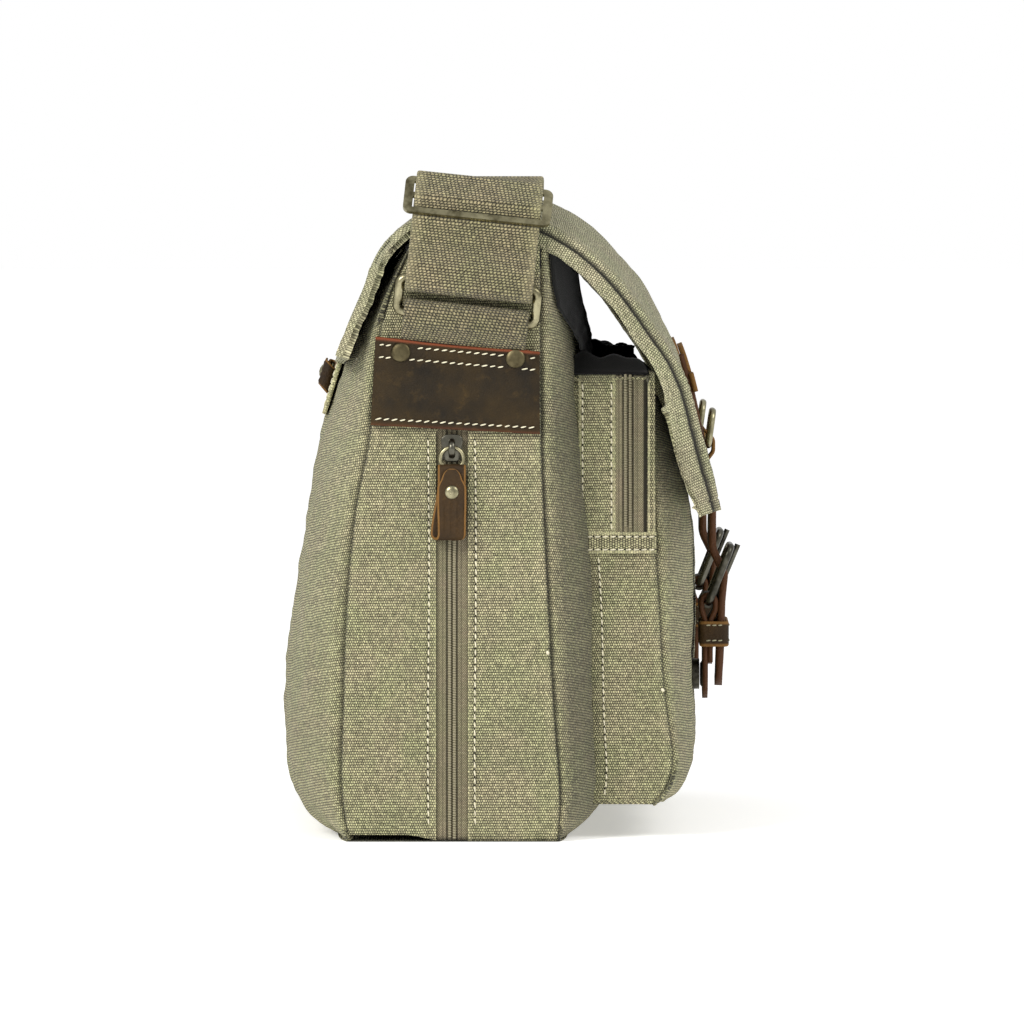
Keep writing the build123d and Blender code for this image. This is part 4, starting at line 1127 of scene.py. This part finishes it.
strap = ribbon("shoulder_strap", line, across, WEBBING_WIDE, WEBBING,
               relief=lambda y, s: 0.03 * np.sin(s / 6.0) + 0 * y)
finish_piece(strap, WEB, None, ["strap_webbing", "strap_leg_left", "strap_leg_right"])


# --- flap -----------------------------------------------------------------------------------
def flap_line(x, z=None):
    """The flap's outer section at x, as many (y, z) points, or y at heights z on its front."""
    share = crown(np.array([x / FLAP_HALF]))[0]
    at, t = knots(FLAP_MID), np.linspace(0, 1, 500)
    line = spline(FLAP_END, at, t) * (1 - share) + spline(FLAP_MID, at, t) * share
    if z is None:
        return line
    front = line[line[:, 0] < -20]
    return np.interp(z, front[::-1, 1], front[::-1, 0])


def edge_band(t):
    """How wide the flap's turned side band is along its length: widest at the front corner."""
    return 0.6 + 2.2 * between(0.0, 0.07, t) + 5.8 * between(0.24, 0.5, t) + 4.2 * between(0.68, 0.95, t)


def flap_grid(half, nu, nt, seed=71):
    u, t = ends_close(nu) * half / FLAP_HALF, np.linspace(0, 1, nt)
    p = outline_grid(FLAP_END, FLAP_MID, FLAP_HALF, crown, u, t)
    n = -grid_normals(p)
    x, y = p[..., 0], p[..., 1]
    tt = np.broadcast_to(t[None], x.shape)
    to_side = FLAP_HALF - np.abs(x)
    clear = 1 - bell(y + 11, 26.0) * (np.array(p[..., 2]) > 236)
    drape = waves(p * (0.7, 1, 1), seed, 80.0) * 1.3 * between(4, 40, to_side) * between(0.15, 0.3, tt) * clear
    small = waves(p, seed + 1, 22.0) * 0.28 * between(0, 10, to_side) * clear
    return p + n * (drape + small + 0.08 * waves(p, seed + 2, 3.5, 2))[..., None], n, tt, to_side


p, n, tt, to_side = flap_grid(FLAP_HALF, 260, 220)
roll = np.clip(1 - to_side / 6.0, 0, 1)
deep = edge_band(tt) * (1 - np.cos(roll * pi / 2)) ** 0.8
deep = deep + 0.35 * roll * waves(p, 77, 14.0)
flare = between(0.88, 1.0, tt) * roll * 2.0
p = p - n * deep[..., None]
p[..., 1] -= flare
p[..., 0] = np.clip(p[..., 0], -FLAP_HALF - 0.4, FLAP_HALF + 0.4)
BAND_SEAM = 3.6
seam = 0.8 * bell(to_side - BAND_SEAM, 0.45) * between(0.1, 0.16, tt)
hem = 0.5 * bell((1 - tt) * 330 - 9.0, 0.6)
p = p - n * (seam + hem)[..., None] + n * (0.3 * bell(to_side - 5.4, 0.9))[..., None]
skin_n = -grid_normals(p)
run = running_length(p)
across = np.concatenate([np.zeros((1, p.shape[1])), np.cumsum(np.linalg.norm(np.diff(p, axis=0), axis=2), axis=0)])
across -= across[p.shape[0] // 2]
first = np.argmax(to_side[:, 0] > 8.0)
run[:first], run[-first:] = run[first], run[-first - 1]
wear_and_shade = 0.2 * bell(to_side, 0.6) + 0.25 * bell((1 - tt) * 330, 1.6)
wear_and_shade = wear_and_shade - 1.2 * bell(to_side - BAND_SEAM, 0.5) * between(0.02, 0.05, tt)
flap = thick_sheet("flap_cloth", p, np.stack([across, run], axis=-1), 2.8, wear_and_shade, flip=True)
# The flap's cloth takes the paler canvas of painted light.
finish_piece(flap, CANVAS_PAINTED_LIGHT, None, ["flap_rear", "flap_outer"])


def bend_with_flap(obj):
    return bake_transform(obj)


lining_p, lining_n, _, _ = flap_grid(FLAP_HALF - 9.0, 120, 150)
keep = slice(8, 146)
lining_p = (lining_p - lining_n * 3.35)[:, keep]
flap_lining = thick_sheet("flap_black_lining", lining_p, lining_p[..., :2], 0.8, flip=True, edge=0)
finish_piece(flap_lining, BLACK, None, ["flap_lining"])
bend_with_flap(flap)
bend_with_flap(flap_lining)

rows = []
for side in (-1, 1):
    for inset in (2.7, 9.0):
        column = np.argmin(np.abs(p[:, 110, 0] - side * (FLAP_HALF - inset)))
        rows += stitch_places(p[column, 30:-6], skin_n[column, 30:-6], 3.1)
for back in (9.0, 16.0):
    row = int(round((1 - back / 330) * 219))
    rows += stitch_places(p[40:-40, row], n[40:-40, row], 3.2)
for front in (4.0, 10.0):
    row = int(round(front / 330 * 219))
    rows += stitch_places(p[40:-40, row], n[40:-40, row], 3.2)
flap_stitches = capsules("flap_stitches", rows, 0.28, THREAD_SOFT, None)
bend_with_flap(flap_stitches)
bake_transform(strap)


# --- buckle closures ---------------------------------------------------------------------------
def at_x(path, x):
    path = np.asarray(path, float)
    return np.stack([np.full(len(path), x), path[:, 0], path[:, 1]], axis=1)


def sewn_line(x, heights, proud):
    """Points on the flap's face at heights, standing proud of it."""
    y = flap_line(x, np.asarray(heights, float))
    slope = np.gradient(y, heights)
    size = np.sqrt(1 + slope ** 2)
    return np.stack([y - proud / size, np.asarray(heights) + proud * slope / size], axis=1)


ALONG_X = np.array([1.0, 0, 0])
for x, end in ((-CLOSURE_X, "left"), (CLOSURE_X, "right")):
    closure = f"closure_{end}"
    sewn = sewn_line(abs(x), np.linspace(186, 131, 40), 1.6)
    hang = rounded_path([tuple(sewn[-1]), DROP_AXIS, (-101.6, 110.6), (-106.4, 100.6), (-105.4, 89.6),
                         (-104.9, 77.6), (-104.2, 56.5)], [12, 9, 5, 9, 20], 0.8)
    path = at_x(np.concatenate([sewn[:-1], hang]), x)
    strap_piece = ribbon(f"closure_leather_{end}", path, ALONG_X, CLOSURE_WIDE, 3.0, tip=(1,),
                         relief=lambda y, s: 0.12 * np.sin(s / 5.3 + y / 9) - 0.18 * bell(np.abs(y) - 8.6, 0.5))
    finish_piece(strap_piece, DARK, None, [f"closure_strap_{end}"])
    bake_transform(strap_piece)

    rows = []
    for y in (-8.6, 8.6):
        line = at_x(sewn_line(abs(x), np.linspace(170, 134, 30), 2.85), x + y)
        rows += stitch_places(line, np.gradient(line, axis=0)[:, [0, 2, 1]] * (0, -1, 0.3) + (0, -1, 0), 2.9)
    line = [(x + v, sewn_line(abs(x), [168.0, 167.0], 2.85)[0][0], 168.0) for v in np.linspace(-8.6, 8.6, 12)]
    rows += stitch_places(line, [(0, -1, 0.3)] * 12, 2.9)

    loop_y, loop_z = LOOP_AXIS
    band = sewn_line(abs(x), np.linspace(178.4, 171.2, 10), 3.6)
    finish_piece(ribbon(f"anchor_band_{end}", at_x(band, x), ALONG_X, CLOSURE_WIDE + 3, 1.9), TAN, "flap")
    top_end = sewn_line(abs(x), np.linspace(190, 178.6, 14), 2.9)
    cap_strap = ribbon(f"anchor_end_{end}", at_x(top_end, x), ALONG_X, CLOSURE_WIDE - 1, 2.0, tip=(0,))
    finish_piece(cap_strap, TAN, "flap")
    loop = rounded_path([(loop_y + 1.2, loop_z - 7), (loop_y - 2.15, loop_z - 2.5), (loop_y - 2.15, loop_z + 2.5),
                         (loop_y + 3.6, loop_z + 8)], [3, 3], 0.5)
    loop_piece = ribbon(f"anchor_loop_{end}", at_x(loop, x), ALONG_X, 15, 1.3)
    finish_piece(loop_piece, TAN, "flap")
    line = at_x([(loop_y - 0.2, loop_z - 6.0)] * 12, x) + np.linspace(-5.5, 5.5, 12)[:, None] * ALONG_X
    rows += stitch_places(line, [(0, -1, 0)] * 12, 2.8)
    capsules(f"anchor_stitches_{end}", rows, 0.36, THREAD_SOFT, "flap")

    y0, z0 = BUCKLE_AXIS
    fold = 1.5 + 0.3 + 0.9
    chape_line = rounded_path([(-98.9, 51.5), (-98.9, 82.1), (y0 + fold, 86.6), (y0 + fold, z0 + fold),
                               (y0 - fold, z0 + fold), (y0 - fold, 86.6), (-100.8, 82.1), (-100.8, 66)],
                              [6, 4, fold - 0.02, fold - 0.02, 4, 6], 0.5)
    chape_piece = ribbon(f"chape_leather_{end}", at_x(chape_line, x), ALONG_X, CLOSURE_WIDE, 2.1, tip=(0,))
    finish_piece(chape_piece, DARK, closure, [f"chape_{end}"])
    disc = [(0.1, 1.1), (4.2, 1.1), (5.0, 0.6), (5.0, -0.1), (0.1, -0.1)]
    stud = lathe(f"stud_{end}", disc, (x, -98.1, 61.0), (0, 1, 0), 36)
    finish_piece(stud, GUNMETAL, closure)
    box = rounded_path([(0.5, -97.25), (12.15, -97.25), (12.15, -107.35), (-12.15, -107.35),
                        (-12.15, -97.25), (0.4, -97.25)], [1.6, 1.6, 1.6, 1.6], 0.4)
    keeper_path = np.stack([box[:, 0] + x, box[:, 1], np.full(len(box), 77.6) + 0.04 * box[:, 0]], axis=1)
    keeper_piece = ribbon(f"keeper_leather_{end}", keeper_path, (0, 0, 1), 10.0, 1.5)
    finish_piece(keeper_piece, TAN, closure, [f"keeper_{end}"])
    rows = []
    for z in (74.6, 80.6):
        line = [(x + v, -108.15, z) for v in np.linspace(-10.5, 10.5, 20)]
        rows += stitch_places(line, [(0, -1, 0)] * 20, 2.3)
        for s in (-1, 1):
            line = [(x + s * 12.95, v, z) for v in np.linspace(-106, -98.5, 8)]
            rows += stitch_places(line, [(s, 0, 0)] * 8, 2.3)
    capsules(f"keeper_stitches_{end}", rows, 0.3, THREAD_SOFT, closure)
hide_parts("closure_anchors")


# --- inside: rim, lining, divider and board ------------------------------------------------------
def inner_loop(inset, t, count=60):
    """A level line round the inside of the body, inset from its outer face."""
    u = ends_close(count)
    half = HALF - inset
    level = np.array([t, t + 1e-4])
    front = outline_grid(BODY_FRONT_END, BODY_FRONT_MID, half, fullness, u, level)[:, 0] + (0, inset, 0)
    back = outline_grid(BODY_BACK_END, BODY_BACK_MID, half, fullness, u, level)[:, 0] - (0, inset, 0)
    return np.concatenate([front, back[::-1]])


heights = np.linspace(0.015, 0.985, 50)
wall = np.stack([inner_loop(3.3, t) for t in heights])
wall[0, :, 2] = 3.2
wall_in = np.stack([inner_loop(4.1, t) for t in heights])
wall_in[0, :, 2] = 4.0
nu, nv = wall.shape[:2]
verts = np.concatenate([wall.reshape(-1, 3), wall_in.reshape(-1, 3), [[0, 0, 3.0]], [[0, 0, 3.9]]])
size = nu * nv
faces = [tuple(f) for f in grid_faces(nu, nv, closed_v=True)]
faces += [tuple(f[::-1]) for f in grid_faces(nu, nv, size, closed_v=True)]
top = (nu - 1) * nv
faces += [(top + k, top + (k + 1) % nv, size + top + (k + 1) % nv, size + top + k) for k in range(nv)]
faces += [(k, 2 * size, (k + 1) % nv) for k in range(nv)]
faces += [(size + k, size + (k + 1) % nv, 2 * size + 1) for k in range(nv)]
lining = mesh_object("black_lining_bag", verts, faces, np.stack([verts[:, 0] + verts[:, 1], verts[:, 2]], axis=-1))
mesh_tidy(lining)
finish_piece(lining, BLACK, "bag", ["lining"])

rim = inner_loop(1.55, 0.985, 80)
rim = np.concatenate([rim[40:], rim[:41]])
for _ in range(3):
    rim[1:-1] = (rim[:-2] + rim[1:-1] * 2 + rim[2:]) / 4
gaps = np.linalg.norm(np.diff(rim, axis=0), axis=1)
rim = rim[np.concatenate([[True], gaps > 0.2])]
rim[:, 2] = 225.0
rim_piece = ribbon("mouth_rim", rim, (0, 0, 1), 11.0, 3.4, relief=lambda y, s: 0.12 * np.sin(s / 6.0) + 0 * y)
finish_piece(rim_piece, BLACK, "bag", ["mouth_binding"])

DIVIDER_HALF, _, DIVIDER_TOP = highest("divider")
DIVIDER_FOOT = lowest("divider")[2]
x = np.linspace(-DIVIDER_HALF, DIVIDER_HALF, 90)
z = np.linspace(DIVIDER_FOOT, DIVIDER_TOP, 60)
xx, zz = np.meshgrid(x, z, indexing="ij")
edge_gap = np.minimum.reduce([DIVIDER_HALF - np.abs(xx), zz - DIVIDER_FOOT, DIVIDER_TOP - zz])
QUILT = 40
puff = 0.8 + 1.2 * between(0, 14, edge_gap)
puff = puff - 0.5 * bell((xx + zz) % QUILT - QUILT / 2, 1.0) - 0.5 * bell((xx - zz) % QUILT - QUILT / 2, 1.0)
divider_p = np.stack([xx, -puff, zz], axis=-1)
divider = thick_sheet("padded_divider", divider_p, np.stack([xx, zz], axis=-1), 3.4, edge=0.3)
finish_piece(divider, BLACK, "bag", ["divider"])

# --- CAD pieces that stay, in new materials --------------------------------------------------------
FINISHES = {
    BOARD: ["base_board"],
    BRASS: ["strap_ring_left", "strap_ring_right", "strap_slider", "upper_ring_left", "upper_ring_right"],
    GUNMETAL: ["stud_sockets", "buckle_frame_left", "buckle_frame_right", "buckle_prong_left", "buckle_prong_right"],
}
for material, names in FINISHES.items():
    for name in names:
        node = frame["nodes"][name]
        for index in range(max(1, len(node.material_slots))):
            if index < len(node.material_slots):
                node.material_slots[index].material = material
            else:
                node.data.materials.append(material)

# --- floor, light and camera ---------------------------------------------------------------------
disc = [(60000 * cos(a), 60000 * sin(a), 0) for a in np.linspace(0, 2 * pi, 96, endpoint=False)]
floor = mesh_object("floor", disc, [tuple(range(96))])
pale = plain("pale_floor", (0.90, 0.90, 0.90, 1.0), 0.95, 0.0)
pale.node_tree.nodes["Principled BSDF"].inputs["Emission Color"].default_value = (1.0, 1.0, 1.0, 1.0)
pale.node_tree.nodes["Principled BSDF"].inputs["Emission Strength"].default_value = 0.36
floor.data.materials.append(pale)

world = bpy.data.worlds.new("studio")
bpy.context.scene.world = world
world.use_nodes = True
nodes, links = world.node_tree.nodes, world.node_tree.links
soft_light = nodes["Background"]
soft_light.inputs["Color"].default_value = (1.0, 1.0, 1.0, 1.0)
soft_light.inputs["Strength"].default_value = 0.74
backdrop = nodes.new("ShaderNodeBackground")
backdrop.inputs["Color"].default_value = (1.0, 1.0, 1.0, 1.0)
backdrop.inputs["Strength"].default_value = 1.0
seen, either = nodes.new("ShaderNodeLightPath"), nodes.new("ShaderNodeMixShader")
links.new(seen.outputs["Is Camera Ray"], either.inputs[0])
links.new(soft_light.outputs[0], either.inputs[1])
links.new(backdrop.outputs[0], either.inputs[2])
links.new(either.outputs[0], nodes["World Output"].inputs["Surface"])
bpy.context.scene.view_settings.view_transform = "Standard"


def area_light(name, place, target, size, power, tint=(1.0, 0.98, 0.95)):
    data = bpy.data.lights.new(name, "AREA")
    data.shape, data.size, data.energy, data.color = "DISK", size, power, tint
    obj = bpy.data.objects.new(name, data)
    obj.location = place
    obj.rotation_euler = (Vector(target) - Vector(place)).to_track_quat("-Z", "Y").to_euler()
    bpy.context.scene.collection.objects.link(obj)


area_light("key", (-1.4, 0.9, 1.0), (0, 0, 0.14), size=0.7, power=21.0)
area_light("fill", (-0.9, -1.1, 1.2), (0, 0, 0.12), size=0.9, power=9.0)

VIEW_DISTANCE, VIEW_HEIGHT = 3.5, radians(1.8)
target = Vector((-0.165, -0.0231, 0.127))
camera_data = bpy.data.cameras.new("camera")
camera_data.lens, camera_data.sensor_width = 320.0, 36.0
camera_data.clip_end = 50.0
camera = bpy.data.objects.new("camera", camera_data)
camera.location = target + Vector((-cos(VIEW_HEIGHT), 0, sin(VIEW_HEIGHT))) * VIEW_DISTANCE
camera.rotation_euler = (target - camera.location).to_track_quat("-Z", "Y").to_euler()
bpy.context.scene.collection.objects.link(camera)
bpy.context.scene.camera = camera
